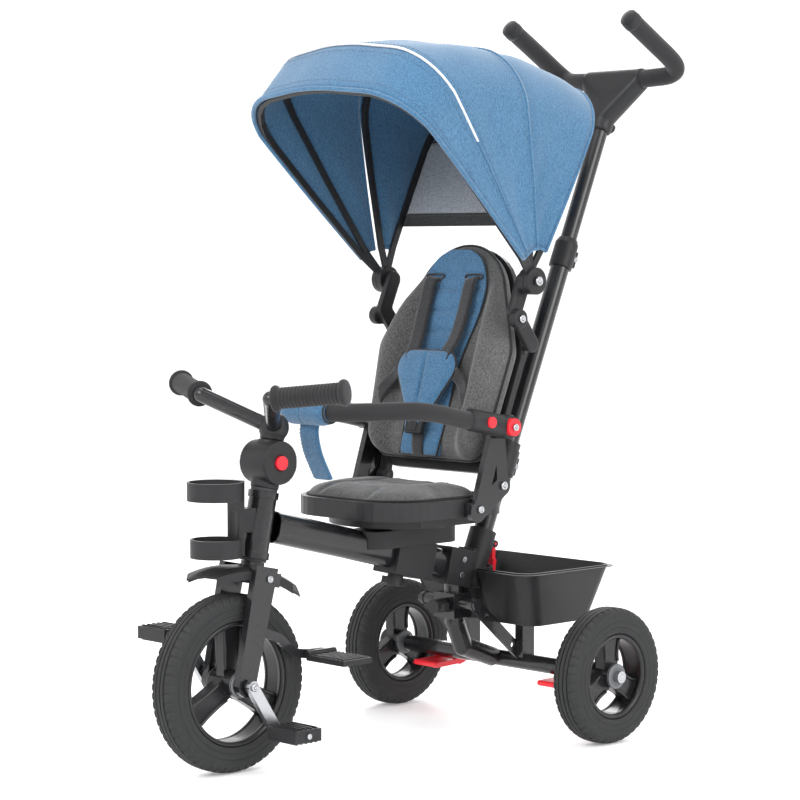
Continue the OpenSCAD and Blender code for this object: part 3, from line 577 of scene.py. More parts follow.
def even_outline(raw, n=96):
    lengths = [0.0]
    for i in range(len(raw)):
        a, b = raw[i], raw[(i + 1) % len(raw)]
        lengths.append(lengths[-1] + math.dist(a, b))
    out, i = [], 0
    for k in range(n):
        want = lengths[-1] * k / n
        while lengths[i + 1] < want:
            i += 1
        a, b = raw[i], raw[(i + 1) % len(raw)]
        t = (want - lengths[i]) / max(lengths[i + 1] - lengths[i], 1e-9)
        out.append((a[0] + (b[0] - a[0]) * t, a[1] + (b[1] - a[1]) * t))
    return out


def pad(name, outline, centre, front, seam, back, place, mat, body, edge=0.22,
        rings=22, subdivide=1):
    """front(x, y) is the pad's height there; place turns (x, y, height) into a point."""
    verts, n = [], len(outline)
    scales = [1 - edge + edge * math.sin(math.pi / 2 * (1 - k / 7)) for k in range(7)]
    scales += [(1 - edge) * (1 - k / rings) for k in range(rings)]
    sheet_rows = []
    for s in scales:
        lift = 1.0 if s <= 1 - edge else math.sqrt(max(0.0, 1 - ((s - 1 + edge) / edge) ** 2))
        row = []
        for x, y in outline:
            u, v = centre[0] + (x - centre[0]) * s, centre[1] + (y - centre[1]) * s
            row.append(place(u, v, seam + (front(u, v) - seam) * lift))
        sheet_rows.append(row)
    for row in reversed(sheet_rows):
        verts += row
    for s in (1.0, 0.985, 0.9, 0.5):
        deep = back if s < 0.98 else (back + (seam - back) * (0.18 if s < 1 else 0.5))
        for x, y in outline:
            u, v = centre[0] + (x - centre[0]) * s, centre[1] + (y - centre[1]) * s
            verts.append(place(u, v, deep))
    rows = len(scales) + 4
    faces = grid_faces(rows, n, wrap_cols=True)
    faces += [tuple(range(n)), tuple(range(len(verts) - n, len(verts)))]
    ob = made(name, verts, faces, mat, body, subdivide=subdivide)
    return ob


def groove(distance, width, depth):
    return -depth * math.exp(-((distance / width) ** 2))


def step_up(value, low, high):
    t = min(1.0, max(0.0, (value - low) / (high - low)))
    return t * t * (3 - 2 * t)


def piping(name, outline, height, place, radius, mat, body):
    path = [place(x, y, height(x, y) if callable(height) else height) for x, y in outline]
    return swept(name, path, round_section(radius, 10), mat, body, loop=True,
                 up=(path[0] - path[len(path) // 2]).orthogonal())


print("pad helpers ready")

# %% [markdown]
# ## The backrest's cover
# The cover is grey heathered cloth over foam, with a thick bolster down each side that holds
# the child. Towards the top the bolsters melt into the flat headrest. Black piping closes the
# seam all round. The cover is one pad whose front height depends on where you are on it.

# %% Backrest cover
back_outline = hull_outline([(0, 262, 94), (92, 190, 36), (-92, 190, 36), (88, 52, 25), (-88, 52, 25)], 120)


def back_front(x, z):
    bolster = step_up(abs(x), 66, 100) * (1 - step_up(z, 262, 330))
    seam_line = groove(abs(x) - 70, 5, 2.2) * (1 - step_up(z, 285, 320))
    soft = 1.6 * math.sin(z / 23) * math.sin(x / 31)
    return 47 + 25 * bolster + seam_line + 4 * math.cos(z / 130) + soft * 0.6


def back_place(x, z, height):
    return on_back(x, -height, z)


back_cover = pad("back_cover", back_outline, (0, 175), back_front, 30, 11.2, back_place, grey_cloth,
                 "backrest", edge=0.2)
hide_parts("backrest_cushion")
piping("back_cover_piping", back_outline, 31, lambda x, z, h: back_place(x * 1.006, z * 1.003 - 0.5, h),
       0.0024,
       piping_cloth, "backrest")
print("backrest cover", tuple(round(v, 3) for v in back_cover.dimensions))

# %% [markdown]
# A blue panel is sewn down the middle, broad behind the head and narrow behind the back. It
# is quilted: straight rows of stitches press channels into it from side to side. The rows lie
# closer together near the top.

# %% Quilted blue panel
half_widths = [(26, 40), (60, 42), (110, 43), (160, 46), (205, 54), (245, 63), (285, 66), (315, 58),
               (335, 42), (346, 20)]
right = smooth_path([(w, z, 0) for z, w in half_widths], 8)
panel_outline = even_outline([(p.x, p.y) for p in right] + [(-p.x, p.y) for p in reversed(right)], 120)
channel_rows = [64, 104, 144, 182, 218, 252, 286]


def panel_front(x, z):
    return back_front(x * 0.4, z) + 5.0 + sum(groove(z - row, 4.2, 4.6) for row in channel_rows)


pad("quilted_panel", panel_outline, (0, 190), panel_front, 49, 42, back_place, blue_cloth,
            "backrest", edge=0.13, rings=40)
piping("panel_piping", panel_outline, lambda x, z: back_front(x, z) + 1.2, back_place, 0.0017,
       piping_cloth, "backrest")
print("quilted panel has", len(channel_rows), "channels")

# %% [markdown]
# Stitches show up close. Each is a short thread, a little sunk at both ends, and one mesh
# holds a whole row of them.

# %% Rows of stitches
def stitches(name, path, body, mat=None, length=0.0032, gap=0.0022, radius=0.00035, up=None):
    up = up or Vector((0, -1, 0))
    verts, faces, run = [], [], 0.0
    for a, b in zip(path, path[1:]):
        span, t = (b - a).length, 0.0
        along = (b - a).normalized()
        while run + t < span:
            p = a + along * (run + t)
            q = p + along * length
            side = along.cross(up).normalized() * radius
            start = len(verts)
            for end, lift in ((p, 0), ((p + q) / 2, 1), (q, 0)):
                rise = up * radius * (1.6 * lift)
                verts += [end - side, end + rise + up * radius, end + side, end - up * radius]
            for r in (0, 4):
                faces += [(start + r + k, start + r + (k + 1) % 4, start + r + 4 + (k + 1) % 4,
                           start + r + 4 + k)
                          for k in range(4)]
            faces += [(start, start + 1, start + 2, start + 3),
                      (start + 8, start + 9, start + 10, start + 11)]
            t += length + gap
        run = max(0.0, run + t - span)
    return made(name, verts, faces, mat or thread, body)


for i, row in enumerate(channel_rows):
    w = next(w0 + (w1 - w0) * (row - z0) / (z1 - z0)
             for (z0, w0), (z1, w1) in zip(half_widths, half_widths[1:]) if z0 <= row <= z1) - 6
    line = [back_place(-w + 2 * w * k / 16, row, panel_front(-w + 2 * w * k / 16, row) + 0.2)
            for k in range(17)]
    stitches(f"panel_stitches_{i}", line, "backrest")
print("stitched", len(channel_rows), "rows")

# %% [markdown]
# ## The harness
# A padded piece lies over the child's belly, shaped like a rounded triangle with one seam
# down the middle. Two black shoulder straps come out of slots in the headrest and pass down
# behind it, and a waist strap goes to each side.

# %% Belly pad
belly_outline = hull_outline([(36, 158, 25), (-36, 158, 25), (0, 84, 19)], 96)


def belly_front(x, z):
    return 78.5 + groove(x, 2.6, 3.4) - 0.0009 * (x * x)


belly_pad = pad("belly_pad", belly_outline, (0, 134), belly_front, 71, 65.5, back_place, blue_cloth,
                "backrest", edge=0.3)
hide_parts("harness")
piping("belly_piping", belly_outline, 71, back_place, 0.0016, piping_cloth, "backrest")
seam = [back_place(1.6, z, belly_front(1.6, z) + 1.0) for z in range(76, 172, 4)]
stitches("belly_stitches", seam, "backrest")
print("belly pad", tuple(round(v, 3) for v in belly_pad.dimensions))

# %% Shoulder, waist and leg straps
for side, s in (("left", 1), ("right", -1)):
    path = smooth_path([back_place(s * 41, 300, 50), back_place(s * 42, 292, 58), back_place(s * 42, 250, 60),
                        back_place(s * 40, 210, 63), back_place(s * 36, 184, 70),
                        back_place(s * 34, 170, 73)], 6)
    swept(f"shoulder_strap_{side}", path, strap_section(0.026, 0.0055), lining_cloth, "backrest",
          up=Vector((0, -1, 0.2)))
    path = smooth_path([back_place(s * 58, 152, 71), back_place(s * 74, 138, 67), back_place(s * 88, 118, 70),
                        back_place(s * 98, 96, 66)], 5)
    swept(f"waist_strap_{side}", path, strap_section(0.020, 0.002), lining_cloth, "backrest",
          up=Vector((0, -1, 0.2)))
    slot_box = [back_place(s * 41 + a, 303 + b, 51.5) for a, b in ((-16, -3), (16, -3), (16, 3), (-16, 3))]
    swept(f"strap_slot_{side}", smooth_path(slot_box + [slot_box[0]], 2), round_section(0.0014, 8),
          piping_cloth,
          "backrest")
path = smooth_path([back_place(0, 82, 70), back_place(0, 62, 62), back_place(0, 40, 58),
                    back_place(0, 27, 52)], 6)
swept("leg_strap", path, strap_section(0.024, 0.0022), lining_cloth, "backrest",
      up=Vector((0, -1, 0.2)))
print("straps made")

# %% [markdown]
# A side-release buckle joins the leg strap to the belly pad: a flat body with rounded corners
# and a raised middle. Two bevelled boxes make it.

# %% Buckle
def rounded_box(name, centre, size, turn, mat, body, bevel=0.003):
    bm = bmesh.new()
    bmesh.ops.create_cube(bm, size=1)
    bmesh.ops.scale(bm, vec=size, verts=bm.verts)
    bmesh.ops.bevel(bm, geom=bm.edges[:], offset=bevel, segments=3, affect="EDGES", profile=0.6)
    bm.transform(Matrix.Translation(centre) @ turn.to_4x4())
    verts, faces = [v.co.copy() for v in bm.verts], []
    bm.verts.index_update()
    faces = [tuple(v.index for v in f.verts) for f in bm.faces]
    bm.free()
    return made(name, verts, faces, mat, body)


lean = Matrix.Rotation(math.radians(-16), 3, "X")
rounded_box("buckle_body", back_place(0, 70, 70), (0.034, 0.010, 0.030), lean, moulded, "backrest")
rounded_box("buckle_rib", back_place(0, 70, 74), (0.016, 0.006, 0.022), lean, moulded, "backrest",
            0.002)
print("buckle made")

# %% [markdown]
# ## The seat cushion
# A removable pad lies in the pan. Real padding is not a formula: it swells where it can and
# wrinkles where it is held. So this pad is first built slightly thin, then blown up with a
# cloth simulation, and its points may only travel a few millimetres. The bottom stays flat
# on the pan.

# %% Blow up a pad with cloth
def puff(ob, voxel, pressure, cap, hold, steps=20):
    """Remesh, inflate, keep each point within cap of where it was, and freeze what hold(point) says."""
    bpy.context.view_layer.objects.active = ob
    for modifier in list(ob.modifiers):
        ob.modifiers.remove(modifier)
    remesh = ob.modifiers.new("even", "REMESH")
    remesh.mode = "VOXEL"
    remesh.voxel_size = voxel
    graph = bpy.context.evaluated_depsgraph_get()
    even = bpy.data.meshes.new_from_object(ob.evaluated_get(graph))
    ob.modifiers.clear()
    ob.data = even
    start = [v.co.copy() for v in even.vertices]
    pins = ob.vertex_groups.new(name="held")
    pins.add([i for i, p in enumerate(start) if hold(p)], 1.0, "REPLACE")
    cloth = ob.modifiers.new("cloth", "CLOTH")
    cloth.settings.use_pressure = True
    cloth.settings.uniform_pressure_force = pressure
    cloth.settings.effector_weights.gravity = 0
    cloth.settings.vertex_group_mass = "held"
    cloth.settings.quality = 5
    for step in range(1, steps + 1):
        bpy.context.scene.frame_set(step)
    graph = bpy.context.evaluated_depsgraph_get()
    blown = bpy.data.meshes.new_from_object(ob.evaluated_get(graph))
    ob.modifiers.clear()
    ob.data = blown
    for v, p in zip(blown.vertices, start):
        move = v.co - p
        if move.length > cap:
            v.co = p + move * (cap / move.length)
    bpy.context.scene.frame_set(1)
    for face in ob.data.polygons:
        face.use_smooth = True
    ob.modifiers.new("soft", "SUBSURF").levels = 1
    ob.modifiers["soft"].render_levels = 1


def on_pan(x, y, height):
    return on_seat(x, y, height)


seat_outline = hull_outline([(47, -64, 64), (-47, -64, 64), (88, 26, 23), (-88, 26, 23)], 110)


def seat_front(x, y):
    rise = 387.5 - 5.0 * math.exp(-((x / 60) ** 2) - (((y + 20) / 60) ** 2))
    return rise + groove(abs(x) - 50, 4, 3.0)


seat_pad = pad("seat_pad", seat_outline, (0, -40), seat_front, 373, 365.4, on_pan, grey_cloth, "seat",
               edge=0.2, rings=18, subdivide=0)
puff(seat_pad, 0.005, 4.0, 0.006, lambda p: p.z < 0.369)
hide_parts("seat_cushion")
piping("seat_piping", seat_outline, 373.5, on_pan, 0.0022, piping_cloth, "seat")
print("seat pad", tuple(round(v, 3) for v in seat_pad.dimensions))

# %% Seams sewn into the seat pad
for v in seat_pad.data.vertices:
    x, y, z = v.co.x * 1000, (v.co.y + 0.0135) * 1000, v.co.z * 1000
    if z > 376:
        v.co.z += (groove(abs(x) - 52, 3.5, 2.4) + groove(y + 20 - abs(x) * 0.15, 3.5, 2.0) * (abs(x) < 52)
                   + groove(y + 72 - abs(x) * 0.15, 3.5, 2.0) * (abs(x) < 52)) / 1000
for side, s in (("left", 1), ("right", -1)):
    line = [on_seat(s * 52, y, 388.6) for y in range(-108, 44, 6)]
    stitches(f"seat_stitches_{side}", line, "seat", up=Vector((0, 0, 1)))
print("seat pad seams pressed in")

# %% [markdown]
# ## The safety bar
# The bar is a bent steel tube in a thick foam sleeve, so it has no corners at all. A smooth
# curve through the tube's bends gives that. The sleeve's ends go into moulded arms.

# %% Foam bar and its arms
bar_points = [(148, 47, 479), (148, -20, 489.5), (147, -70, 500), (139, -108, 505), (120, -144, 505.5),
              (92, -172, 504.5), (50, -186.5, 503), (0, -189.5, 503)]
bar_path = [on_seat(*p) for p in bar_points]
bar_path += [on_seat(-x, y, z) for x, y, z in reversed(bar_points[:-1])]
bar = swept("foam_bar", smooth_path(bar_path, 10), round_section(0.0132, 24), grip_foam, "safety_bar")
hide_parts("safety_bar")
for side, s in (("left", 1), ("right", -1)):
    path = smooth_path([on_seat(s * 148, 66, 475.6), on_seat(s * 148, 46, 478.6), on_seat(s * 148, 18, 484.5),
                        on_seat(s * 148, -10, 489.5), on_seat(s * 148, -15, 490.4)], 6)
    swept(f"bar_arm_{side}", path, round_section(lambda t: 0.0165 - 0.002 * step_up(t, 0.72, 1.0), 28),
          moulded,
          "safety_bar", subdivide=1)
    turned_piece(f"bar_pivot_{side}", on_seat(s * 136.6, 63, 476), (s, 0, 0),
                 [(0, 0.0165), (0.001, 0.018), (0.021, 0.018), (0.0234, 0.0165), (0.0234, 0.001)],
                 moulded, "safety_bar")
    bolt(f"bar_pivot_bolt_{side}", on_seat(s * 168, 63, 476), (s, 0, 0), 0.0055, "safety_bar")
print("foam bar runs through", len(bar_path), "bends")

# %% [markdown]
# A blue padded sleeve is wrapped round the middle of the bar and laced at the back. Its ends
# are gathered, so it is thinner there. A broad blue strap hangs from it between the legs.

# %% Bar sleeve and leg strap
sleeve = swept("bar_sleeve", [on_seat(x, -189.2, 503) for x in range(-46, 47, 2)],
               round_section(lambda t: 0.0152 + 0.0048 * min(1, 7 * t * (1 - t)) ** 0.5
                             - 0.0012 * math.exp(-((t - 0.5) / 0.02) ** 2), 32),
               blue_cloth, "safety_bar", subdivide=1)
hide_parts("bar_pad")
path = smooth_path([on_seat(0, -187, 485), on_seat(0, -188.5, 470), on_seat(0, -182, 444),
                    on_seat(0, -170, 420), on_seat(0, -160.5, 403)], 8)
leg_pad = swept("bar_leg_strap", path, strap_section(0.041, 0.0058), blue_cloth, "safety_bar",
                up=Vector((0, -1, 0)), subdivide=1)
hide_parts("crotch_strap")
for s in (-1, 1):
    line = [p + Vector((s * 0.0165, -0.0036, 0)) for p in path[1:-1]]
    stitches(f"leg_strap_stitches_{'left' if s > 0 else 'right'}", line, "safety_bar")
    swept(f"sleeve_band_{'left' if s > 0 else 'right'}",
          [on_seat(s * 46, -189.2 + 15.4 * math.cos(a * math.pi / 16),
                   503 + 15.4 * math.sin(a * math.pi / 16))
           for a in range(32)], round_section(0.0016, 8), piping_cloth, "safety_bar",
           loop=True,
          up=Vector((1, 0, 0)))
print("bar sleeve made")

# %% [markdown]
# ## The canopy
# Four bows turn on the same two pivots, and the cloth is stretched over them. Between two
# bows it sags a little, since cloth pulled two ways makes a saddle. A surface made of rows,
# each an arch at its own angle, follows the bows exactly, and the sag is taken off the radius
# between them. The front cloth is cut a little larger, so it slides over the rear one when
# the front bows fold back.

# %% Shape of the arches
BOW_ANGLES = (-27.0, 9.0, 35.0, 48.0)
BOW_RADII = ((-27.0, 336.0), (0.0, 349.0), (9.0, 350.0), (35.0, 412.0), (48.0, 404.0))


# Half widths of each cloth at its foot and at its shoulder, in mm
rear_widths = (163.5, 171.5)
front_widths = (172, 179.2)


def bow_radius(a):
    for (a0, r0), (a1, r1) in zip(BOW_RADII, BOW_RADII[1:]):
        if a <= a1:
            return r0 + (r1 - r0) * (a - a0) / (a1 - a0)
    return BOW_RADII[-1][1]


def arch_points(r, x0, x1, count=72):
    corner = 92
    half = [(48, x0), (r * 0.45, (x0 + x1) / 2 + 2)]
    half += [(r - 10 - corner + corner * math.sin(math.radians(t)),
              x1 - corner + corner * math.cos(math.radians(t)))
             for t in range(0, 76, 15)]
    half += [(r - 6, (x1 - corner) * 0.75), (r - 1, (x1 - corner) * 0.3)]
    whole = half + [(h, -x) for h, x in reversed(half)]
    path = smooth_path([(x, h, 0) for h, x in whole], 12)
    lengths = [0.0]
    for p, q in zip(path, path[1:]):
        lengths.append(lengths[-1] + (q - p).length)
    out, i = [], 0
    for k in range(count + 1):
        want = lengths[-1] * k / count
        while i < len(path) - 2 and lengths[i + 1] < want:
            i += 1
        t = (want - lengths[i]) / max(lengths[i + 1] - lengths[i], 1e-9)
        out.append(path[i].lerp(path[i + 1], min(1.0, t)))
    return out


def canopy_point(p, a, lift=0.0):
    h = p.y + lift
    return on_canopy(p.x, -h * math.sin(math.radians(a)), h * math.cos(math.radians(a)))


print("arch at the front bow is", round(bow_radius(35)), "mm high")

# %% Cloth between the bows
def sag_at(a, share):
    for low, high in zip(BOW_ANGLES, BOW_ANGLES[1:]):
        if low <= a <= high:
            t = (a - low) / (high - low)
            return 4 * t * (1 - t) * (high - low) / 36 * (2.5 + 5.0 * math.sin(math.pi * share))
    return 0.0


def canopy_sheet(name, a0, a1, steps, x0, x1, lift, mat, body, thick=0.0014):
    rows = []
    for i in range(steps + 1):
        a = a0 + (a1 - a0) * i / steps
        arch = arch_points(bow_radius(a), x0, x1)
        row = []
        for j, p in enumerate(arch):
            share = j / (len(arch) - 1)
            sag = sag_at(a, share)
            pull = Vector((p.x * 0.55, p.y - 120, 0)).normalized()
            q = p - pull * (sag - lift)
            ripple = 0.8 * math.sin(share * 41 + a * 0.33) * min(1.0, sag / 3)
            row.append(canopy_point(q + pull * ripple, a))
        rows.append(row)
    cols = len(rows[0])
    ob = made(name, [p for row in rows for p in row], grid_faces(len(rows), cols), mat, body)
    shell = ob.modifiers.new("cloth_thickness", "SOLIDIFY")
    shell.thickness = thick
    shell.offset = -1
    return ob, rows


canopy_back, rear_rows = canopy_sheet("canopy_rear_cloth", -27, 9, 18, *rear_widths, 0.0, canopy_cloth,
                                      "canopy")
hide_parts("canopy_rear")
canopy_fore, fore_rows = canopy_sheet("canopy_front_cloth", 7.5, 47.5, 24, *front_widths, 1.5, canopy_cloth,
                                      "canopy_front")
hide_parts("canopy_front")
print("canopy cloth", tuple(round(v, 3) for v in canopy_fore.dimensions))

# %% [markdown]
# The panels meet in seams. The seam over the front bow carries a pale piping that shows up at
# dusk, the visor's edge is bound in the same blue cloth, and the open edges are hemmed.

# %% Seams, piping and hems of the canopy
def along_arch(name, a, x0, x1, lift, radius, mat, body, shares=(0.0, 1.0), squeeze=1.0):
    arch = arch_points(bow_radius(a), x0, x1)
    low, high = int(shares[0] * (len(arch) - 1)), int(shares[1] * (len(arch) - 1))
    path = [canopy_point(p + Vector((p.x * 0.55, p.y - 120, 0)).normalized() * lift, a)
            for p in arch[low:high + 1]]
    section = round_section(radius, 12)
    flat = lambda t: [(u, v * squeeze) for u, v in section(t)]
    return swept(name, path, flat, mat, body, up=Vector((0, 1, 0)))


along_arch("front_seam_piping", 35.0, *front_widths, 1.9, 0.0019, bright_piping, "canopy_front", (0.2, 0.8))
along_arch("front_seam_welt", 35.0, *front_widths, 1.6, 0.0017, canopy_cloth, "canopy_front")
along_arch("visor_binding", 47.5, *front_widths, 0.6, 0.0034, canopy_cloth, "canopy_front")
along_arch("middle_seam_welt", 8.6, *front_widths, 1.2, 0.0022, canopy_cloth, "canopy_front")
along_arch("rear_binding", -27.0, *rear_widths, -0.4, 0.0026, canopy_cloth, "canopy")
for side, share in (("left", 0), ("right", -1)):
    for label, rows, body in (("rear", rear_rows, "canopy"), ("front", fore_rows, "canopy_front")):
        path = [row[share] for row in rows]
        swept(f"{label}_foot_hem_{side}", path, round_section(0.0024, 10), canopy_cloth, body,
              up=Vector((1, 0, 0)))
for i, a in enumerate((33.2, 36.8, 45.2, 10.4)):
    arch = arch_points(bow_radius(a), *front_widths)
    line = [canopy_point(p + Vector((p.x * 0.55, p.y - 120, 0)).normalized() * 1.2, a) for p in arch[3:-3]]
    stitches(f"canopy_stitches_{i}", line, "canopy_front", length=0.004, gap=0.003, up=Vector((0, 0, 1)))
print("canopy seams sewn")

# %% [markdown]
# A flap hangs from the rear bow and closes the back. Most of it is a window of open mesh that
# lets air through, with cloth along the top and a black band at its lower edge.

# %% Back flap with its mesh window
def flap_row(h, a=-26.6, shrink=3.5):
    arch = arch_points(bow_radius(-27.0), *rear_widths)
    half = arch[:len(arch) // 2 + 1]
    best = next((p0.x + (p1.x - p0.x) * (h - p0.y) / max(p1.y - p0.y, 1e-6)
                 for p0, p1 in zip(half, half[1:]) if p0.y <= h <= p1.y), half[-1].x)
    w = max(best - shrink, 2.0)
    bulge = 3.0 * math.sin(math.pi * min(1.0, (h - 90) / 236))
    return [canopy_point(Vector((w * (k / 20 - 1), h, 0)),
                         a - math.degrees(bulge * math.cos(math.pi * (k / 20 - 1) / 2) / 400))
            for k in range(41)]


def flap_piece(name, low, high, steps, mat):
    rows = [flap_row(low + (high - low) * i / steps) for i in range(steps + 1)]
    ob = made(name, [p for row in rows for p in row], grid_faces(len(rows), 41), mat, "canopy")
    shell = ob.modifiers.new("cloth_thickness", "SOLIDIFY")
    shell.thickness = 0.0012
    return rows


flap_piece("flap_mesh", 112, 240, 16, window_mesh)
flap_piece("flap_cloth", 240, 326, 12, canopy_cloth)
flap_piece("flap_band", 92, 112, 4, lining_cloth)
for name, h in (("flap_band_top", 112), ("flap_window_top", 240)):
    swept(name, flap_row(h), round_section(0.0018, 8), piping_cloth, "canopy",
          up=Vector((0, 0, 1)))
print("flap hung")

# %% [markdown]
# ## Tyres
# The tyres are moulded from foam rubber. Across the tyre the section is a rounded U with a
# step where the side wall meets the tread, and shallow grooves are moulded in all round. Each
# rib of the tread is cut by cross slots at the shoulders. A profile swept round the hub gives
# the ribs, and every few degrees the shoulder points drop to make the slots.

# %% Tread profile and tyres
def tyre_profile(r):
    side = [(22, r - 36), (22, r - 30), (21.2, r - 29), (22, r - 28), (22, r - 21), (21.2, r - 20),
            (22, r - 19), (21.9, r - 13.5), (21.0, r - 9.0), (20.4, r - 7.6), (19.6, r - 6.3),
            (17.2, r - 3.4), (14.6, r - 1.7), (12.2, r - 0.8), (11.6, r - 3.0), (10.4, r - 3.0),
            (9.8, r - 0.35), (5.2, r - 0.02), (4.6, r - 2.2), (3.4, r - 2.2), (2.8, r - 0.0)]
    return [(-w, h) for w, h in side] + [(w, h) for w, h in reversed(side)]


def tyre(name, node, centre, r, body, segments):
    profile = tyre_profile(r) + [(20, r - 37.7), (-20, r - 37.7)]
    n, verts = len(profile), []
    for i in range(segments * 4):
        a = 2 * math.pi * i / (segments * 4)
        for w, h in profile:
            slot_here = i % 4 == 0 and 11.9 < abs(w) < 21.5 and h > r - 9.5
            h = h - (1.9 if slot_here else 0)
            verts.append(centre + Vector((w, -h * math.sin(a), h * math.cos(a))) / 1000)
    ob = made(name, verts, grid_faces(segments * 4, n, wrap_rows=True, wrap_cols=True), foam_rubber, body,
              smooth=False)
    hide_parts(node)
    return ob


front_hub, rear_y = on_trike(0, 0, 127), 545
tyre("front_tread", "front_tyre", front_hub, 127, "front_wheel", 60)
tyre("rear_tread_left", "rear_tyre_left", on_trike(226, rear_y, 102), 102, "rear_wheel_left", 48)
tyre("rear_tread_right", "rear_tyre_right", on_trike(-226, rear_y, 102), 102, "rear_wheel_right", 48)
print("three treaded tyres made")

# %% [markdown]
# ## Rims
# Each rim has three broad spokes with raised borders and a grey hub, and a bright lip where
# it meets the tyre. The plain spokes come from the exact model; the borders, the hub cap and
# the lip are added on both faces.

# %% Wheel trim
def wheel_trim(tag, centre, r, half_hub, sides, body):
    for s in sides:
        face = 17.2 * s
        turned_piece(f"{tag}_lip_{'l' if s > 0 else 'r'}", centre + Vector((face / 1000, 0, 0)), (s, 0, 0),
                     [(-0.006, (r - 7.2) / 1000), (0.0006, (r - 7.2) / 1000), (0.0026, (r - 5) / 1000),
                      (0.0032, (r - 2.5) / 1000), (0.0020, (r - 0.3) / 1000), (-0.006, (r - 0.1) / 1000)],
                     rim_gloss, body, 96, ring=True)
        for i in range(3):
            a = math.radians(120 * i)
            for edge in (-1, 1):
                pts = []
                for q, w in ((21, 14.0), (30, 13.2), (r * 0.62, 13.6), (r - 9.5, 16.4)):
                    y, z = edge * w, q
                    pts.append(centre + Vector((8.6 * s, y * math.cos(a) - z * math.sin(a),
                                                y * math.sin(a) + z * math.cos(a))) / 1000)
                swept(f"{tag}_spoke_{'l' if s > 0 else 'r'}{i}{'a' if edge > 0 else 'b'}",
                      smooth_path(pts, 5),
                      round_section(0.0026, 10), rim_gloss, body, up=Vector((1, 0, 0)))
        hub = centre + Vector((half_hub * s / 1000, 0, 0))
        turned_piece(f"{tag}_hub_{'l' if s > 0 else 'r'}", hub, (s, 0, 0),
                     [(-0.003, 0.0193), (0.0002, 0.0188), (0.0012, 0.0165), (0.0012, 0.0128),
                      (0.0002, 0.0122),
                      (0.0002, 0.0110)], hub_grey, body, 48)


wheel_trim("front_rim", front_hub, 89, 27, (1, -1), "front_wheel")
wheel_trim("rear_rim_left", on_trike(226, rear_y, 102), 64, 20, (1, -1), "rear_wheel_left")
wheel_trim("rear_rim_right", on_trike(-226, rear_y, 102), 64, 20, (1, -1), "rear_wheel_right")
print("wheel trim made")

# %% [markdown]
# ## The push handle and the handlebar grips
# The two horns of the push handle are foam tubes that bend up smoothly and end in a rounded
# cap. The handlebar grips are ribbed rubber with a flange at each end.

# %% Push handle horns
horn_points = [(40, 812, 1003), (78, 813.5, 1004), (104, 818, 1006.5), (119, 817, 1014), (125, 801, 1027),
               (125, 760, 1051), (125, 722, 1072.5), (125, 693, 1089)]
for side, s in (("left", 1), ("right", -1)):
    path = smooth_path([on_trike(s * x, y, z) for x, y, z in horn_points], 8)
    horn = swept(f"push_horn_{side}", path,
                 round_section(lambda t: 0.0142
                               if t < 0.985 else 0.0142 * math.sqrt(max(0.05, (1 - t) / 0.015)), 28),
                 grip_foam, "push_handle")
    if s > 0:
        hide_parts("handle_grips")
    end, ahead = path[-6], (path[-1] - path[-8]).normalized()
    turned_piece(f"push_horn_cap_{side}", end, ahead,
                 [(0, 0.0149), (0.006, 0.0152), (0.012, 0.0146), (0.0165, 0.012), (0.0185, 0.006),
                  (0.019, 0.0005)],
                 moulded, "push_handle")
print("push handle horns made")

# %% Handlebar grips
a, b = on_trike(75, 15, 529), on_trike(175, 60, 540)
length = (b - a).length
ribs = [(0.006, 0.0112), (0.0062, 0.0180), (0.0085, 0.0187), (0.0108, 0.0180), (0.0118, 0.0150)]
spot = 0.0145
while spot < length - 0.006:
    ribs += [(spot, 0.0150), (spot + 0.0006, 0.0141), (spot + 0.0022, 0.0141), (spot + 0.0028, 0.0150)]
    spot += 0.0056
ribs += [(length - 0.0026, 0.0150), (length - 0.0020, 0.0182), (length + 0.0015, 0.0189),
         (length + 0.004, 0.0178),
         (length + 0.0052, 0.012), (length + 0.0055, 0.0005)]
for side, s in (("left", 1), ("right", -1)):
    flip = Vector((s, 1, 1))
    grip = turned_piece(f"bar_grip_{side}", a * flip, (b - a) * flip, ribs, grip_foam, "steering",
                        36)
    if s > 0:
        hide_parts("grips")
print("grips have", (len(ribs) - 11) // 4, "ribs")

# %% [markdown]
# The hub of the push handle is a single smooth moulding that spreads from the pole into the
# two horns like a wishbone. Its exact solid has flat sides, so a copy is remeshed and smoothed:
# that rounds it as a mould maker would.

# %% Smooth mouldings
def softened(name, node, voxel, passes, mat, body, swell=0.0):
    source = frame["nodes"][node]
    ob = bpy.data.objects.new(name, source.data.copy())
    bpy.context.scene.collection.objects.link(ob)
    ob.data.materials.clear()
    ob.data.materials.append(mat)
    remesh = ob.modifiers.new("even", "REMESH")
    remesh.mode = "VOXEL"
    remesh.voxel_size = voxel
    relax = ob.modifiers.new("relax", "SMOOTH")
    relax.factor = 0.6
    relax.iterations = passes
    if swell:
        grow = ob.modifiers.new("grow", "DISPLACE")
        grow.strength = swell
        grow.mid_level = 0
    graph = bpy.context.evaluated_depsgraph_get()
    ob.data = bpy.data.meshes.new_from_object(ob.evaluated_get(graph))
    ob.modifiers.clear()
    ob.data.transform(source.matrix_world)
    for face in ob.data.polygons:
        face.use_smooth = True
    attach(ob, body)
    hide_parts(node)
    return ob


softened("wishbone_hub", "handle_hub", 0.0022, 12, satin_shell, "push_handle", 0.0008)
softened("bar_clamp", "handlebar_clamp", 0.0014, 5, moulded, "steering", 0.0003)
softened("stem_drum", "stem_housing", 0.0014, 4, moulded, "steering", 0.0002)
softened("clamp_arms", "canopy_clamps", 0.0014, 6, moulded, "backrest", 0.0003)
print("smooth mouldings made")

# %% [markdown]
# ## Screws and small marks
# Screws tell a viewer how a thing is put together. Each has a socket head and sits where two
# parts are joined.

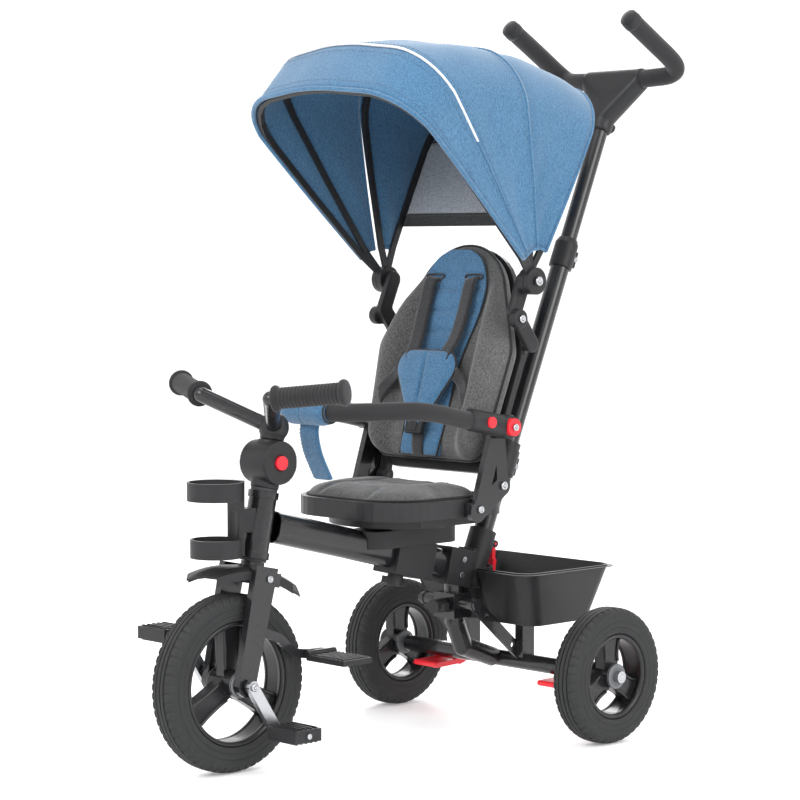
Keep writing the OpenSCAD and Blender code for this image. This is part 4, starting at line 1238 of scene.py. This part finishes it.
# %% Screws
for s, tag in ((1, "l"), (-1, "r")):
    bolt(f"canopy_pivot_bolt_{tag}", on_canopy(s * 168, 0, 0), (s, 0, 0), 0.007, "backrest")
    bolt(f"canopy_knob_bolt_{tag}", on_back(s * 156, -52, 240), (s, 0, 0), 0.006, "backrest")
    bolt(f"arm_bolt_front_{tag}", on_seat(s * 136, 24, 356), (s, 0, 0), 0.0055, "seat")
    bolt(f"arm_bolt_back_{tag}", on_seat(s * 136, 72, 388), (s, 0, 0), 0.0065, "seat")
    bolt(f"front_hub_nut_{tag}", on_trike(s * 55, 0, 127), (s, 0, 0), 0.006, "front_wheel")
    bolt(f"crown_bolt_{tag}", on_steering(s * 41, 0, 150), (s, 0, 0), 0.005, "steering")
    bolt(f"stay_bolt_{tag}", on_trike(s * 55, 440, 200), (s, 0, 0), 0.005, "frame")
    turned_piece(f"rear_hub_cap_{tag}", on_trike(s * 254, rear_y, 102), (s, 0, 0), dome(0.0085, 0.0018, 5),
                 hub_grey, "frame", 24)
bolt("pole_joint_bolt", on_pole(7, 22, 192), (1, 0, 0), 0.0045, "push_pole")
bolt("collar_bolt", on_pole(8, 19, 538), (1, 0, 0), 0.0045, "push_pole")
print("screws placed")

# %% [markdown]
# ## The floor
# A pale floor that curves up far behind the trike, so that there is no horizon line. It glows
# faintly, which keeps the curve as white as the floor.

# %% Floor
floor_finish = bpy.data.materials.new("studio_floor")
floor_finish.use_nodes = True
floor_tree = floor_finish.node_tree
floor_tree.nodes["Principled BSDF"].inputs["Roughness"].default_value = 0.55
floor_tree.nodes["Principled BSDF"].inputs["Emission Color"].default_value = (1, 1, 1, 1)
floor_tree.nodes["Principled BSDF"].inputs["Emission Strength"].default_value = 0.22
floor_skin = add(floor_tree, "ShaderNodeGroup", node_tree=grain)
floor_skin.inputs["Drift Scale"].default_value = 1.2
floor_tone = mix_colours(floor_tree, floor_skin.outputs["Drift"], (0.86, 0.86, 0.865, 1),
                         (0.90, 0.90, 0.905, 1))
floor_tree.links.new(floor_tone, floor_tree.nodes["Principled BSDF"].inputs["Base Color"])
rings, verts, spokes = [0.0, 1.5, 3.0, 4.5, 5.2, 5.8, 6.2, 6.5, 6.6], [], 64
heights = [0, 0, 0, 0, 0.10, 0.40, 0.95, 1.9, 5.0]
for radius, height in zip(rings[1:], heights[1:]):
    verts += [(radius * math.cos(2 * math.pi * k / spokes), radius * math.sin(2 * math.pi * k / spokes),
               height)
              for k in range(spokes)]
floor_mesh = bpy.data.meshes.new("floor")
floor_faces = [tuple(reversed(f)) for f in grid_faces(len(rings) - 1, spokes, wrap_cols=True)]
floor_mesh.from_pydata(verts, [], floor_faces + [tuple(range(spokes))])
floor_mesh.materials.append(floor_finish)
for face in floor_mesh.polygons:
    face.use_smooth = True
floor = bpy.data.objects.new("floor", floor_mesh)
bpy.context.scene.collection.objects.link(floor)
print("floor laid")

# %% [markdown]
# ## Finish
# The new pieces must keep the trike's real size. At the end the scene is updated once more.


bpy.context.view_layer.update()
